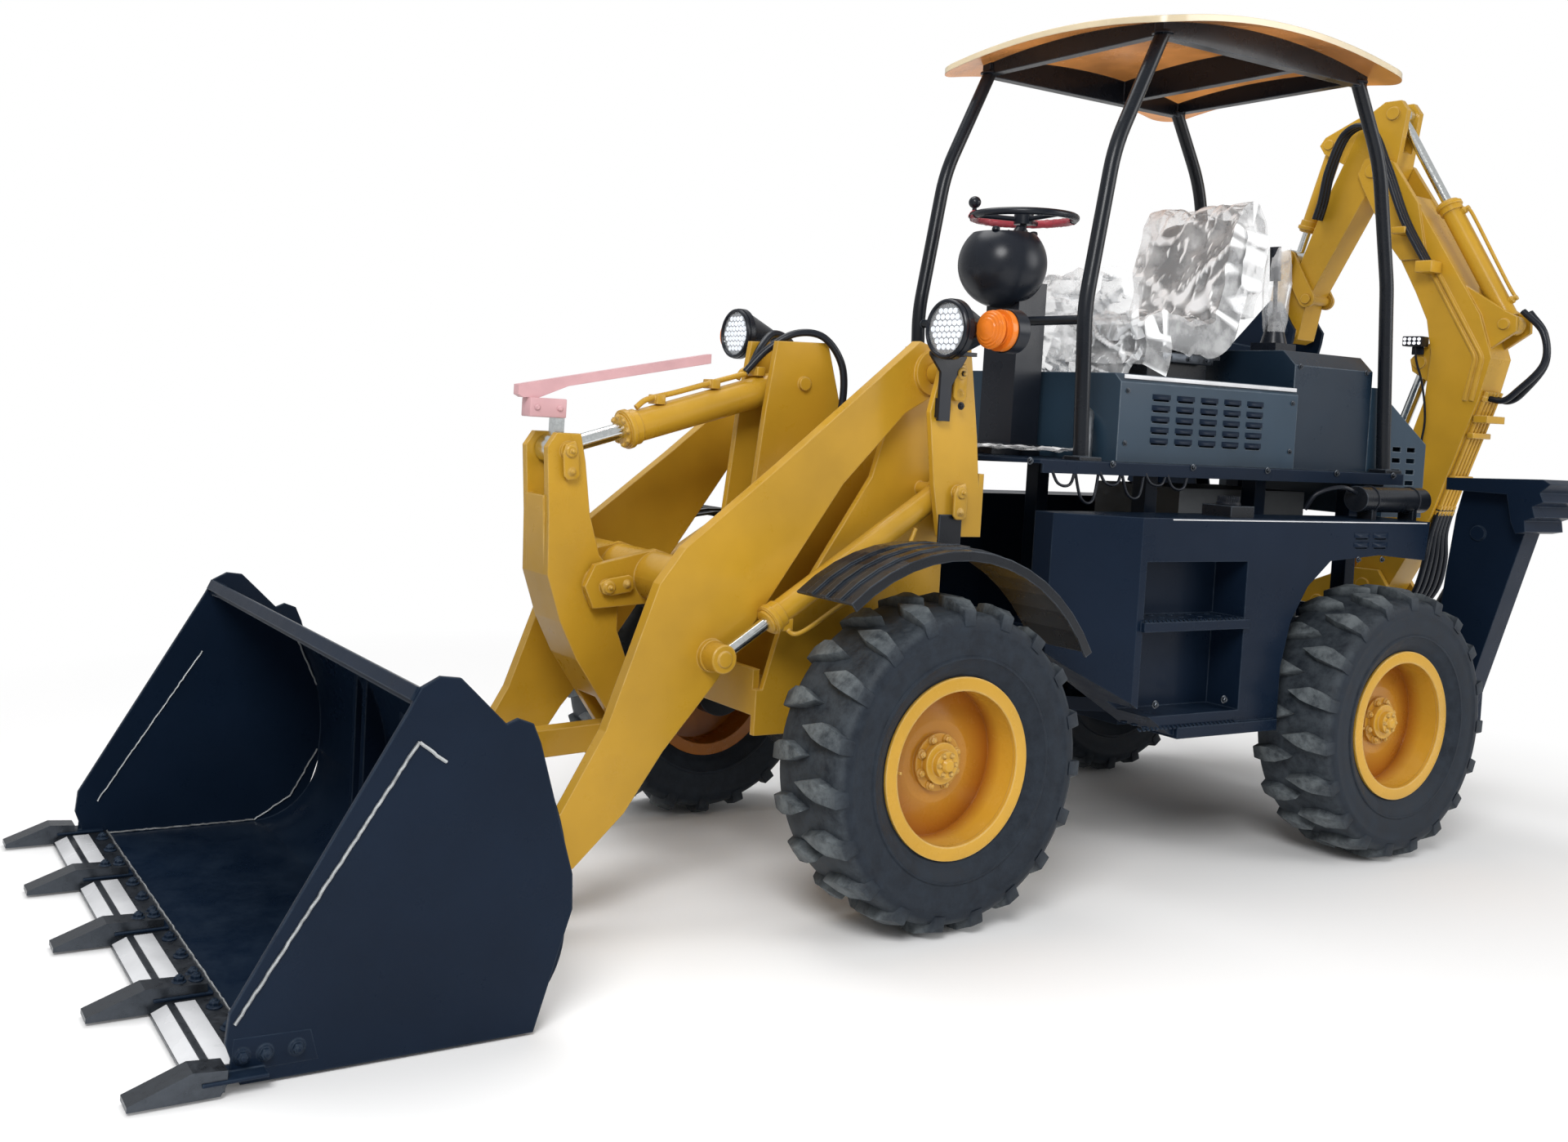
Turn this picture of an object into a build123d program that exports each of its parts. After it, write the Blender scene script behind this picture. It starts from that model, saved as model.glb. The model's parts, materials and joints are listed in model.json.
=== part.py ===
from build123d import *
from math import cos, radians, sin, tan
import os

# A small backhoe loader hinged in the middle. Millimetres. X is forward from the front axle, Y to the
# left and Z up from the ground; each node is moved to the middle of the machine when it is written.

# Wheels
WHEELBASE = 2120
TRACK = 1300
TYRE_RADIUS = 490
TYRE_WIDTH = 300
BEAD_RADIUS = 241
RIM_FLANGE_RADIUS = 268
RIM_WIDTH = 244
RIM_DISC_Y = 15
HUB_RADIUS = 62
AXLE_TUBE_RADIUS = 62
AXLE_MIDDLE_RADIUS = 118
AXLE_Z = TYRE_RADIUS
LUG_COUNT = 19
LUG_DEPTH = 34
LUG_WIDTH = 52
SHOULDER_DROP = 62
WHEEL_GAP = 0.3

# Fits
PIN_FIT = 0.05
SIDE_GAP = 3

# Main frame
HINGE_X = -WHEELBASE / 2
HINGE_PIN_RADIUS = 35
RAIL_Y = 230
RAIL_THICK = 20
RAIL_LOW_Z = 430
RAIL_HIGH_Z = 800
ENGINE_LOW_Z = 780
REAR_WALL_X = -2780
DECK_Z = 1385
DECK_THICK = 14
DECK_HALF_WIDTH = 460
DECK_FRONT_X = -420
DECK_REAR_X = -2520
TANK_INNER_Y = 420
TANK_OUTER_Y = 640
TANK_TOP_Z = 1215
SHELL = 5

# Loader
ARM_Y = 320
ARM_THICK = 40
ARM_PIVOT = (-190, 1640)
BUCKET_PIN = (1170, 205)
LIFT_Y = 385
LIFT_BASE = (-220, 1270)
LIFT_EYE = (590, 765)
CROSS_TUBE = (660, 970)
CROSS_TUBE_RADIUS = 75
CRANK_PIVOT = (830, 940)
CRANK_TOP = (965, 1340)
CRANK_LOW = (640, 470)
LINK_PIN = (1235, 440)
TILT_BASE = (120, 1585)
PIN_RADIUS = 22
BUCKET_HALF_WIDTH = 910
TOOTH_TIP_X = 2340
BUCKET_LOW_Z = 8

# Digging arm, in its own plane: S outward from the swing post, Z up from the ground
SWING_X = -3200
SWING_REST = -85
SWING_PIN_RADIUS = 45
BOOM_HALF_WIDTH = 85
BOOM_FOOT = (50, 880)
BOOM_CYL_BASE = (250, 780)
BOOM_CYL_EYE = (-100, 1860)
BOOM_TIP = (150, 2700)
DIPPER_CYL_BASE = (-430, 2020)
DIPPER_CYL_EYE = (90, 2950)
DIPPER_HALF_WIDTH = 68
DIG_PIN = (500, 1990)
DIG_CYL_BASE = (380, 2845)
ROCKER_PIN = (424, 2144)
ROCKER_EYE = (528, 2334)
DIG_HALF_WIDTH = 190
DIG_REACH = 470
DIG_ANGLE = -80

# Stabilisers, in the YZ plane
LEG_X = -2700
LEG_THICK = 100
LEG_PIVOT = (620, 500)
LEG_CYL_BASE = (440, 660)
LEG_CYL_EYE = (690, 1180)

# The middle of the machine's length, from the tooth tips to the swing post
REAR_END_X = SWING_X - 150
MIDDLE_X = (TOOTH_TIP_X + REAR_END_X) / 2


# Shapes
def slab(points, y0, y1):
    """A flat piece: an outline in X and Z, between two values of Y."""
    face = make_face(Polyline(*points, close=True))
    return Pos(0, y1, 0) * Rot(90, 0, 0) * extrude(face, y1 - y0)


def cross_slab(points, x0, x1):
    """A flat piece: an outline in Y and Z, between two values of X."""
    face = make_face(Polyline(*points, close=True))
    return Plane.YZ.offset(x0) * extrude(face, x1 - x0)


def floor_slab(points, z0, z1):
    """A flat piece: an outline in X and Y, between two values of Z."""
    return Pos(0, 0, z0) * extrude(make_face(Polyline(*points, close=True)), z1 - z0)


def block(x0, x1, y0, y1, z0, z1):
    middle = Pos((x0 + x1) / 2, (y0 + y1) / 2, (z0 + z1) / 2)
    return middle * Box(x1 - x0, y1 - y0, z1 - z0)


def boss(at, radius, y0, y1):
    """A round piece along Y, at a place in X and Z."""
    return Pos(at[0], (y0 + y1) / 2, at[1]) * Rot(90, 0, 0) * Cylinder(radius, y1 - y0)


def boss_x(at, radius, x0, x1):
    """A round piece along X, at a place in Y and Z."""
    return Pos((x0 + x1) / 2, at[0], at[1]) * Rot(0, 90, 0) * Cylinder(radius, x1 - x0)


def boss_z(x, y, radius, z0, z1):
    return Pos(x, y, (z0 + z1) / 2) * Cylinder(radius, z1 - z0)


def ring(points):
    """A turned piece about Y, from an outline in radius and Y."""
    return revolve(make_face(Polyline(*points, close=True)), Axis.Y)


def bar(start, end, radius):
    """A round bar between two points in space."""
    a = Vector(*start)
    b = Vector(*end)
    return Plane(origin=a, z_dir=b - a) * Pos(0, 0, (b - a).length / 2) * Cylinder(radius, (b - a).length)


def tube(points, bend, radius):
    """A bent round bar."""
    path = FilletPolyline(*points, radius=bend)
    return sweep(Plane(origin=path @ 0, z_dir=path % 0) * Circle(radius), path=path)


def both_sides(shape):
    return shape + mirror(shape, Plane.XZ)


def between(a, b, share):
    return tuple(p + (q - p) * share for p, q in zip(a, b))


def length(a, b):
    return (Vector(*b) - Vector(*a)).length


def along(a, b, distance):
    """The point at a distance from a towards b."""
    return between(a, b, distance / length(a, b))


def in_space(point, y):
    return (point[0], y, point[1])


# Cylinders. A size is the body's radius and length, then from the base eye to where the bore starts and
# to where the rod ends inside it, both at rest.
def barrel(base, eye, size, y, eye_half, pin):
    """A hydraulic cylinder's body: base eye, tube and gland, bored for its rod."""
    radius, body, bore, _ = size
    start = in_space(along(base, eye, pin + 10), y)
    end = in_space(along(base, eye, body), y)
    gland = in_space(along(base, eye, body - 45), y)
    shape = boss(base, pin * 1.9, y - eye_half, y + eye_half)
    shape += bar(start, end, radius)
    shape += bar(gland, end, radius + 6)
    shape -= boss(base, pin + PIN_FIT, y - eye_half - 1, y + eye_half + 1)
    bore_start = in_space(along(base, eye, bore), y)
    bore_end = in_space(along(base, eye, body + 5), y)
    return shape - bar(bore_start, bore_end, radius * 0.5 + PIN_FIT)


def rod(base, eye, size, y, eye_half, pin):
    """A hydraulic cylinder's rod, from inside the body to its eye, which holds its own pin."""
    radius, _, _, inner_end = size
    start = in_space(along(base, eye, inner_end), y)
    end = in_space(along(eye, base, 2), y)
    shape = bar(start, end, radius * 0.5)
    return shape + boss(eye, pin * 1.9, y - eye_half, y + eye_half)


# Wheels
def carcass():
    """The tyre under its lugs: a turned form with one flat for each lug, made of like wedges."""
    half = TYRE_WIDTH / 2
    bead_y = RIM_WIDTH / 2 - 12
    side = [
        (BEAD_RADIUS, bead_y),
        (RIM_FLANGE_RADIUS + 8, bead_y + 1),
        (345, half - 5),
        (TYRE_RADIUS - SHOULDER_DROP, half),
        (TYRE_RADIUS - LUG_DEPTH, half - 24),
    ]
    outline = side + [(radius, -y) for radius, y in side[::-1]]
    step = 360 / LUG_COUNT
    reach = TYRE_RADIUS + LUG_DEPTH
    spread = reach * tan(radians(step / 2))
    section = extrude(make_face(Polyline(*outline, close=True)), spread, both=True)
    wedge = section & slab([(0, 0), (reach, spread), (reach, -spread)], -half, half)
    turned = [Rot(0, step * index, 0) * wedge for index in range(LUG_COUNT)]
    return turned[0].fuse(*turned[1:]).clean()


def lug(side):
    """One bent lug, from the tread's middle to the shoulder. Its outline is along the tread and across it."""
    half = LUG_WIDTH / 2
    end = TYRE_WIDTH / 2 - 0.5
    outline = [(-half - 14, end), (half - 16, end), (half + 10, 66), (half - 18, -16), (-half + 6, 40)]
    low = TYRE_RADIUS - SHOULDER_DROP + 2
    flat = Plane(origin=(low, 0, 0), x_dir=(0, 0, 1), z_dir=(1, 0, 0))
    return flat * extrude(make_face(Polyline(*[(t, side * y) for t, y in outline], close=True)), TYRE_RADIUS - low)


def tyre():
    step = 360 / LUG_COUNT
    lugs = []
    for side, start in ((1, 0.25), (-1, 0.75)):
        lugs += [Rot(0, step * (index + start), 0) * lug(side) for index in range(LUG_COUNT)]
    return carcass().fuse(*lugs)


def rim():
    half = RIM_WIDTH / 2
    seat = BEAD_RADIUS - WHEEL_GAP
    profile = [
        (seat, half - 11.5),
        (RIM_FLANGE_RADIUS, half - 10),
        (RIM_FLANGE_RADIUS, half),
        (seat - 14, half),
        (seat - 14, -half),
        (RIM_FLANGE_RADIUS, -half),
        (RIM_FLANGE_RADIUS, -half + 10),
        (seat, -half + 11.5),
    ]
    disc = [
        (HUB_RADIUS - 20, RIM_DISC_Y - 6),
        (HUB_RADIUS + 60, RIM_DISC_Y - 6),
        (seat - 10, RIM_DISC_Y - 30),
        (seat - 10, RIM_DISC_Y - 12),
        (HUB_RADIUS + 60, RIM_DISC_Y + 10),
        (HUB_RADIUS - 20, RIM_DISC_Y + 10),
    ]
    shape = ring(profile) + ring(disc)
    shape += boss((0, 0), HUB_RADIUS, RIM_DISC_Y - 60, RIM_DISC_Y + 42)
    shape += boss((0, 0), HUB_RADIUS + 24, RIM_DISC_Y + 8, RIM_DISC_Y + 22)
    shape += boss((0, 0), HUB_RADIUS - 22, RIM_DISC_Y + 40, RIM_DISC_Y + 62)
    return shape


def at_wheel(shape, x, side):
    turn = Rot(0, 0, 0 if side > 0 else 180)
    return Pos(x, side * TRACK / 2, AXLE_Z) * turn * shape


def axle(x):
    """A driven axle: tapered tubes, a round middle and a hub carrier at each end."""
    end = TRACK / 2 + RIM_DISC_Y - 60 - WHEEL_GAP
    half = [
        (0, 0),
        (AXLE_MIDDLE_RADIUS, 0),
        (AXLE_MIDDLE_RADIUS, 60),
        (92, 130),
        (AXLE_TUBE_RADIUS, 170),
        (AXLE_TUBE_RADIUS, 440),
        (108, 450),
        (108, 520),
        (75, 560),
        (75, end),
        (0, end),
    ]
    shape = both_sides(ring(half))
    pinion = boss_x((0, 0), 60, -230, 0)
    return Pos(x, 0, AXLE_Z) * (shape + pinion)


# Front frame
FRONT_PLATE_Y = (265, 285)
CHEEK_Y = (436, 456)
TOWER_PLATE_Y = (62, 84)
TONGUE_Z = (520, 720)
FRONT_BASE_Z = (560, 640)


def front_frame():
    inner = [
        (-330, 500), (-330, 1440), (-262, 1660), (-240, 1722), (-140, 1722), (-100, 1560),
        (-20, 1300), (300, 830), (380, 560), (380, 500),
    ]
    cheek = [(-330, 1130), (-290, 1445), (-240, 1738), (-150, 1738), (-92, 1516), (-124, 1290), (-160, 1130)]
    tower = [
        (-310, 640), (-310, 1420), (-40, 1500), (30, 1722), (230, 1716), (262, 1500), (300, 1136),
        (370, 760), (380, 640),
    ]
    base_z = FRONT_BASE_Z
    shape = both_sides(slab(inner, *FRONT_PLATE_Y))
    shape += both_sides(slab(cheek, *CHEEK_Y))
    shape += both_sides(slab(tower, *TOWER_PLATE_Y))
    shape += block(-330, 380, -285, 285, base_z[0], base_z[1])
    shape += block(-330, -310, -456, 456, 1130, 1330)
    shape += block(-330, -310, -285, 285, base_z[0], 1440)
    shape += block(356, 380, -265, 265, base_z[0], 700)
    shape += block(-200, -60, -TOWER_PLATE_Y[0], TOWER_PLATE_Y[0], base_z[1], 1350)
    # the tail and its tongue, round the middle hinge
    tail = [(-315, 165), (HINGE_X + 130, 110), (HINGE_X, 100), (HINGE_X, -100), (HINGE_X + 130, -110), (-315, -165)]
    shape += floor_slab(tail, *TONGUE_Z)
    shape += boss_z(HINGE_X, 0, 105, *TONGUE_Z)
    shape -= boss_z(HINGE_X, 0, HINGE_PIN_RADIUS + PIN_FIT, TONGUE_Z[0] - 1, TONGUE_Z[1] + 1)
    # axle seats
    shape += both_sides(block(-90, 90, 205, 285, AXLE_Z + AXLE_TUBE_RADIUS - 2, base_z[0] + 10))
    shape += both_sides(block(-330, -150, 150, 285, 500, base_z[0] + 10))
    # pins for the arms, the lift cylinders and the tilt cylinder
    shape += both_sides(boss(ARM_PIVOT, 34, FRONT_PLATE_Y[0] - 12, CHEEK_Y[1] + 12))
    shape += both_sides(boss(LIFT_BASE, PIN_RADIUS, FRONT_PLATE_Y[0], CHEEK_Y[1] + 12))
    shape += boss(TILT_BASE, PIN_RADIUS, -TOWER_PLATE_Y[1] - 12, TOWER_PLATE_Y[1] + 12)
    shape -= Pos(0, 0, AXLE_Z) * Rot(90, 0, 0) * Cylinder(AXLE_TUBE_RADIUS + WHEEL_GAP, 2 * 300)
    shape -= Pos(0, 0, AXLE_Z) * Rot(90, 0, 0) * Cylinder(AXLE_MIDDLE_RADIUS + 6, 2 * 172)
    return shape


# Fenders and lamps
FENDER_RADIUS = 622
FENDER_THICK = 8
FENDER_Y = (490, 745)
LAMP_Y = 561
LAMP_X = -60
LAMP_Z = 1767
LAMP_RADIUS = 92
INDICATOR_X = -135
INDICATOR_Y = LAMP_Y + 124
INDICATOR_RADIUS = 62


def arc_band(radius, thick, first, last, steps):
    """The outline of a curved strip about the axle, between two angles."""
    outer = []
    inner = []
    for step in range(steps + 1):
        angle = radians(first + (last - first) * step / steps)
        outer.append(((radius + thick) * cos(angle), AXLE_Z + (radius + thick) * sin(angle)))
        inner.append((radius * cos(angle), AXLE_Z + radius * sin(angle)))
    return outer + inner[::-1]


def fenders():
    band = slab(arc_band(FENDER_RADIUS, FENDER_THICK, 50, 150, 14), *FENDER_Y)
    lip = slab(arc_band(FENDER_RADIUS - 22, 24, 50, 150, 14), FENDER_Y[1] - 6, FENDER_Y[1])
    shape = band + lip
    for middle in (0.25, 0.5, 0.75):
        y = FENDER_Y[0] + (FENDER_Y[1] - FENDER_Y[0]) * middle
        shape += slab(arc_band(FENDER_RADIUS + 6, 9, 50, 150, 14), y - 14, y + 14)
    shape += block(-240, -120, CHEEK_Y[1] + WHEEL_GAP, FENDER_Y[0] + 20, 1086, 1106)
    shape += block(-240, -150, CHEEK_Y[1] + WHEEL_GAP, CHEEK_Y[1] + 8, 1086, 1200)
    return both_sides(shape)


def lamp_pods():
    disc = Pos(LAMP_X, LAMP_Y, LAMP_Z) * Rot(0, 90, 0)
    shape = disc * Pos(0, 0, -85) * Cone(16, LAMP_RADIUS - 4, 160)
    shape += disc * Pos(0, 0, 2) * Cylinder(LAMP_RADIUS, 20)
    shape -= disc * Pos(0, 0, 8) * Cylinder(LAMP_RADIUS - 12, 12)
    shape += boss_x((INDICATOR_Y, LAMP_Z), INDICATOR_RADIUS + 4, INDICATOR_X - 60, INDICATOR_X - 16)
    shape += block(INDICATOR_X - 50, INDICATOR_X - 26, LAMP_Y + 20, INDICATOR_Y, LAMP_Z - 16, LAMP_Z + 16)
    low = [(-150, 1490), (-150, 1600), (-205, 1690), (-205, 1702), (-60, 1702), (-60, 1690), (-104, 1640),
           (-104, 1490)]
    shape += slab(low, CHEEK_Y[1] + 14, CHEEK_Y[1] + 24)
    shape += block(-146, -108, CHEEK_Y[1] + WHEEL_GAP, CHEEK_Y[1] + 15, 1500, 1560)
    shape += block(-160, -90, CHEEK_Y[1] + 14, LAMP_Y + 10, 1690, 1702)
    shape += block(-120, -100, LAMP_Y - 20, LAMP_Y + 10, 1690, LAMP_Z - 10)
    return both_sides(shape)


def lamp_lenses():
    disc = Pos(LAMP_X, LAMP_Y, LAMP_Z) * Rot(0, 90, 0)
    return both_sides(disc * Pos(0, 0, 7.3) * Cylinder(LAMP_RADIUS - 12 - WHEEL_GAP, 10))


def indicators():
    low = INDICATOR_X - 16 + WHEEL_GAP
    shape = boss_x((INDICATOR_Y, LAMP_Z), INDICATOR_RADIUS, low, low + 22)
    return both_sides(shape + boss_x((INDICATOR_Y, LAMP_Z), INDICATOR_RADIUS - 14, low + 20, low + 30))


# Loader arms and linkage
BRACKET_Y = (96, 118)
CRANK_Y = (58, 84)
LINK_HALF = 30
BUCKET_EAR_Y = ((262, 294), (346, 372))
LINK_EAR_Y = (36, 60)


def loader_arms():
    side = [
        (-235, 1585), (-225, 1712), (-137, 1738), (372, 1331), (697, 1081), (778, 977), (931, 559),
        (1062, 334), (1222, 228), (1228, 150), (1130, 128), (1010, 178), (856, 320), (737, 490), (562, 690),
        (137, 1280), (-92, 1508),
    ]
    y0 = ARM_Y - ARM_THICK / 2
    y1 = ARM_Y + ARM_THICK / 2
    arm = slab(side, y0, y1)
    arm += boss(ARM_PIVOT, 72, FRONT_PLATE_Y[1] + SIDE_GAP, y1 + 14)
    arm += boss(BUCKET_PIN, 62, y0 - SIDE_GAP, y1 + SIDE_GAP)
    arm += boss(LIFT_EYE, 48, y1 - 2, LIFT_Y - 28)
    arm -= boss(ARM_PIVOT, 34 + PIN_FIT, 0, 600)
    arm -= boss(BUCKET_PIN, PIN_RADIUS + PIN_FIT, 0, 600)
    shape = both_sides(arm)
    shape += boss(CROSS_TUBE, CROSS_TUBE_RADIUS, -y0 - 1, y0 + 1)
    bracket = [(590, 1030), (660, 1052), (870, 1006), (902, 940), (870, 874), (660, 888), (590, 910)]
    shape += both_sides(slab(bracket, *BRACKET_Y))
    shape += boss(CRANK_PIVOT, PIN_RADIUS, -BRACKET_Y[1] - 10, BRACKET_Y[1] + 10)
    return shape


def bell_crank():
    side = [
        (905, 1310), (925, 1392), (1005, 1392), (1034, 1349), (1018, 1150), (1011, 970), (960, 830),
        (898, 715), (742, 500), (680, 412), (630, 402), (592, 436), (600, 490), (700, 650), (764, 800),
        (768, 960), (840, 1030), (880, 1150),
    ]
    front = [
        (1028, 1205), (1011, 970), (960, 830), (898, 715), (812, 596), (790, 608), (876, 728), (938, 840),
        (988, 975), (1004, 1205),
    ]
    shape = both_sides(slab(side, *CRANK_Y))
    shape += slab(front, -CRANK_Y[0], CRANK_Y[0])
    shape += both_sides(boss(CRANK_PIVOT, 62, 30, CRANK_Y[1] + 6))
    shape += both_sides(boss(CRANK_TOP, PIN_RADIUS + 6, CRANK_Y[1] - 1, CRANK_Y[1] + 10))
    shape += boss(CRANK_LOW, PIN_RADIUS, -CRANK_Y[1] - 8, CRANK_Y[1] + 8)
    shape -= boss(CRANK_PIVOT, PIN_RADIUS + PIN_FIT, -200, 200)
    return shape


def bucket_link():
    shape = slab(
        [(CRANK_LOW[0], 430), (LINK_PIN[0], 398), (LINK_PIN[0], 482), (CRANK_LOW[0], 512)], -LINK_HALF, LINK_HALF
    )
    for pin in (CRANK_LOW, LINK_PIN):
        shape += boss(pin, 41, -LINK_HALF, LINK_HALF)
    return shape - boss(CRANK_LOW, PIN_RADIUS + PIN_FIT, -100, 100)


# Loader bucket
SHELL_FLOOR_REAR = (1540, BUCKET_LOW_Z)
SHELL_REAR = (1335, 250)
SHELL_HIP = (1440, 660)
SHELL_TOP = (1735, 800)
BUCKET_PLATE = 12
EDGE_REAR_X = 2040
EDGE_FRONT_X = 2200
TOOTH_COUNT = 5
TOOTH_SPACING = (BUCKET_HALF_WIDTH + 4) / 2
SIDE_FRONT_X = 2137
TOOTH_WIDTH = 62


def shell_face(grow):
    """The bucket's bent sheet, seen from the side: floor, curved back and sloping top."""
    low = BUCKET_LOW_Z + grow
    back = SHELL_REAR[0] + grow
    lines = [
        Line((EDGE_REAR_X + 60, low), (SHELL_FLOOR_REAR[0], low)),
        ThreePointArc((SHELL_FLOOR_REAR[0], low), (1400 + grow * 0.7, 75 + grow * 0.7), (back, SHELL_REAR[1])),
        ThreePointArc((back, SHELL_REAR[1]), (1352 + grow, 470), (SHELL_HIP[0] + grow * 0.8, SHELL_HIP[1] - grow * 0.6)),
        Line((SHELL_HIP[0] + grow * 0.8, SHELL_HIP[1] - grow * 0.6), (SHELL_TOP[0] + grow * 0.4, SHELL_TOP[1] - grow)),
    ]
    return lines


def bucket():
    plate = BUCKET_PLATE
    outer = shell_face(0)
    inner = shell_face(plate)
    ends = [Line(outer[0] @ 0, inner[0] @ 0), Line(outer[-1] @ 1, inner[-1] @ 1)]
    sheet = make_face(Wire(outer + inner + ends))
    width = BUCKET_HALF_WIDTH - plate
    shape = Pos(0, width, 0) * Rot(90, 0, 0) * extrude(sheet, 2 * width)
    side = [
        (2130, 163), (2136, 100), (2100, BUCKET_LOW_Z), (1410, BUCKET_LOW_Z), (1323, 290), (1328, 373),
        (1430, 691), (1452, 738), (1490, 752), (1520, 740), (1600, 815), (1640, 852), (1690, 858), (1735, 835),
        (1762, 785),
    ]
    shape += both_sides(slab(side, width, BUCKET_HALF_WIDTH))
    shape += slab([(1700, 782), (1690, 812), (1742, 836), (1756, 806)], -width, width)
    ear = [(1424, 640), (1360, 560), (1120, 260), (1108, 205), (1130, 156), (1180, 142), (1400, 50), (1420, 130)]
    for y0, y1 in BUCKET_EAR_Y:
        shape += both_sides(slab(ear, y0 + (SIDE_GAP if y0 > ARM_Y else 0), y1))
    link_ear = [(1405, 640), (1225, 500), (1188, 450), (1195, 400), (1345, 260), (1380, 420)]
    shape += both_sides(slab(link_ear, *LINK_EAR_Y))
    shape += both_sides(boss(BUCKET_PIN, PIN_RADIUS, BUCKET_EAR_Y[0][0] - 10, BUCKET_EAR_Y[1][1] + 10))
    shape += both_sides(boss(LINK_PIN, PIN_RADIUS + 6, LINK_EAR_Y[1] - 1, LINK_EAR_Y[1] + 10))
    return shape


def bucket_edge():
    low = BUCKET_LOW_Z
    top = low + 25
    step = low + BUCKET_PLATE + WHEEL_GAP
    side = [
        (EDGE_REAR_X + 60.3, low), (EDGE_FRONT_X, low), (EDGE_FRONT_X, low + 8), (EDGE_FRONT_X - 40, top),
        (EDGE_REAR_X, top), (EDGE_REAR_X, step), (EDGE_REAR_X + 60.3, step),
    ]
    half = BUCKET_HALF_WIDTH - BUCKET_PLATE - WHEEL_GAP
    shape = slab(side, -half, half)
    tip = [(SIDE_FRONT_X, low), (EDGE_FRONT_X, low), (EDGE_FRONT_X, low + 8), (EDGE_FRONT_X - 40, top),
           (SIDE_FRONT_X, top)]
    shape += slab(tip, -BUCKET_HALF_WIDTH - 20, BUCKET_HALF_WIDTH + 20)
    middle = (TOOTH_COUNT - 1) / 2
    for index in range(TOOTH_COUNT):
        y = (index - middle) * TOOTH_SPACING
        back = SIDE_FRONT_X if abs(index - middle) == middle else EDGE_REAR_X + 24
        tooth = [
            (back, top - 1), (back, top + 28), (EDGE_FRONT_X + 10, top + 34), (TOOTH_TIP_X, low + 12),
            (TOOTH_TIP_X, low), (EDGE_FRONT_X, low), (EDGE_FRONT_X - 50, low),
        ]
        shape += slab(tooth, y - TOOTH_WIDTH / 2, y + TOOTH_WIDTH / 2)
    return shape


# Lift and tilt cylinders
LIFT_CYL = (38, 760, 190, 200)
TILT_CYL = (50, 640, 200, 224)


def lift_barrels():
    return both_sides(barrel(LIFT_BASE, LIFT_EYE, LIFT_CYL, LIFT_Y, 26, PIN_RADIUS))


def lift_rods():
    return both_sides(rod(LIFT_BASE, LIFT_EYE, LIFT_CYL, LIFT_Y, 26, PIN_RADIUS))


def tilt_barrel():
    return barrel(TILT_BASE, CRANK_TOP, TILT_CYL, 0, 44, PIN_RADIUS)


def tilt_rod():
    shape = rod(TILT_BASE, CRANK_TOP, TILT_CYL, 0, CRANK_Y[0] - 5, PIN_RADIUS)
    shape += block(CRANK_TOP[0] - 16, CRANK_TOP[0] + 16, -20, 20, CRANK_TOP[1] + 34, 1440)
    return shape + block(950, 1070, -28, 28, 1436, 1490)


def level_rod():
    """The wrapped level indicator bar over the tilt cylinder."""
    side = [(1106, 1498), (1106, 1528), (436, 1660), (436, 1630), (940, 1531), (1040, 1490.3), (1090, 1490.3)]
    return slab(side, -16, 16)


# Rear frame and its covers
def rear_frame():
    rail = [(-1250, RAIL_LOW_Z), (-1250, RAIL_HIGH_Z), (REAR_WALL_X, RAIL_HIGH_Z), (REAR_WALL_X, RAIL_LOW_Z)]
    shape = both_sides(slab(rail, RAIL_Y, RAIL_Y + RAIL_THICK))
    shape += block(-1270, -1250, -RAIL_Y - RAIL_THICK, RAIL_Y + RAIL_THICK, RAIL_LOW_Z, RAIL_HIGH_Z)
    shape += block(REAR_WALL_X, REAR_WALL_X + 20, -RAIL_Y, RAIL_Y, RAIL_LOW_Z, RAIL_HIGH_Z)
    for x in (-1650, -2290):
        shape += block(x, x + 60, -RAIL_Y, RAIL_Y, ENGINE_LOW_Z - 80, ENGINE_LOW_Z)
    # the fork round the front frame's tongue
    fork = [(-1251, 200), (-1120, 130), (-1060, 110), (-1060, -110), (-1120, -130), (-1251, -200)]
    for low, high in ((TONGUE_Z[0] - 53, TONGUE_Z[0] - SIDE_GAP), (TONGUE_Z[1] + SIDE_GAP, TONGUE_Z[1] + 53)):
        shape += floor_slab(fork, low, high) + boss_z(HINGE_X, 0, 110, low, high)
    shape += boss_z(HINGE_X, 0, HINGE_PIN_RADIUS, TONGUE_Z[0] - 70, TONGUE_Z[1] + 70)
    # uprights and brackets for the deck, the tanks and the axle
    for x in (-1300, -1900, -2480):
        shape += both_sides(block(x - 30, x + 30, RAIL_Y, RAIL_Y + 60, RAIL_HIGH_Z - 40, DECK_Z - DECK_THICK - 0.3))
    for x in (-1340, -1560):
        shape += both_sides(block(x - 40, x + 40, RAIL_Y + 10, TANK_INNER_Y - 0.3, 600, 700))
    shape += both_sides(
        block(-WHEELBASE - 90, -WHEELBASE + 90, RAIL_Y - 40, RAIL_Y + 60, RAIL_LOW_Z, AXLE_Z + AXLE_TUBE_RADIUS + 30)
    )
    shape -= Pos(-WHEELBASE, 0, AXLE_Z) * Rot(90, 0, 0) * Cylinder(AXLE_TUBE_RADIUS + WHEEL_GAP, 2 * 330)
    return shape


LUG_Z = ((380, 430), (620, 668))


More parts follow.
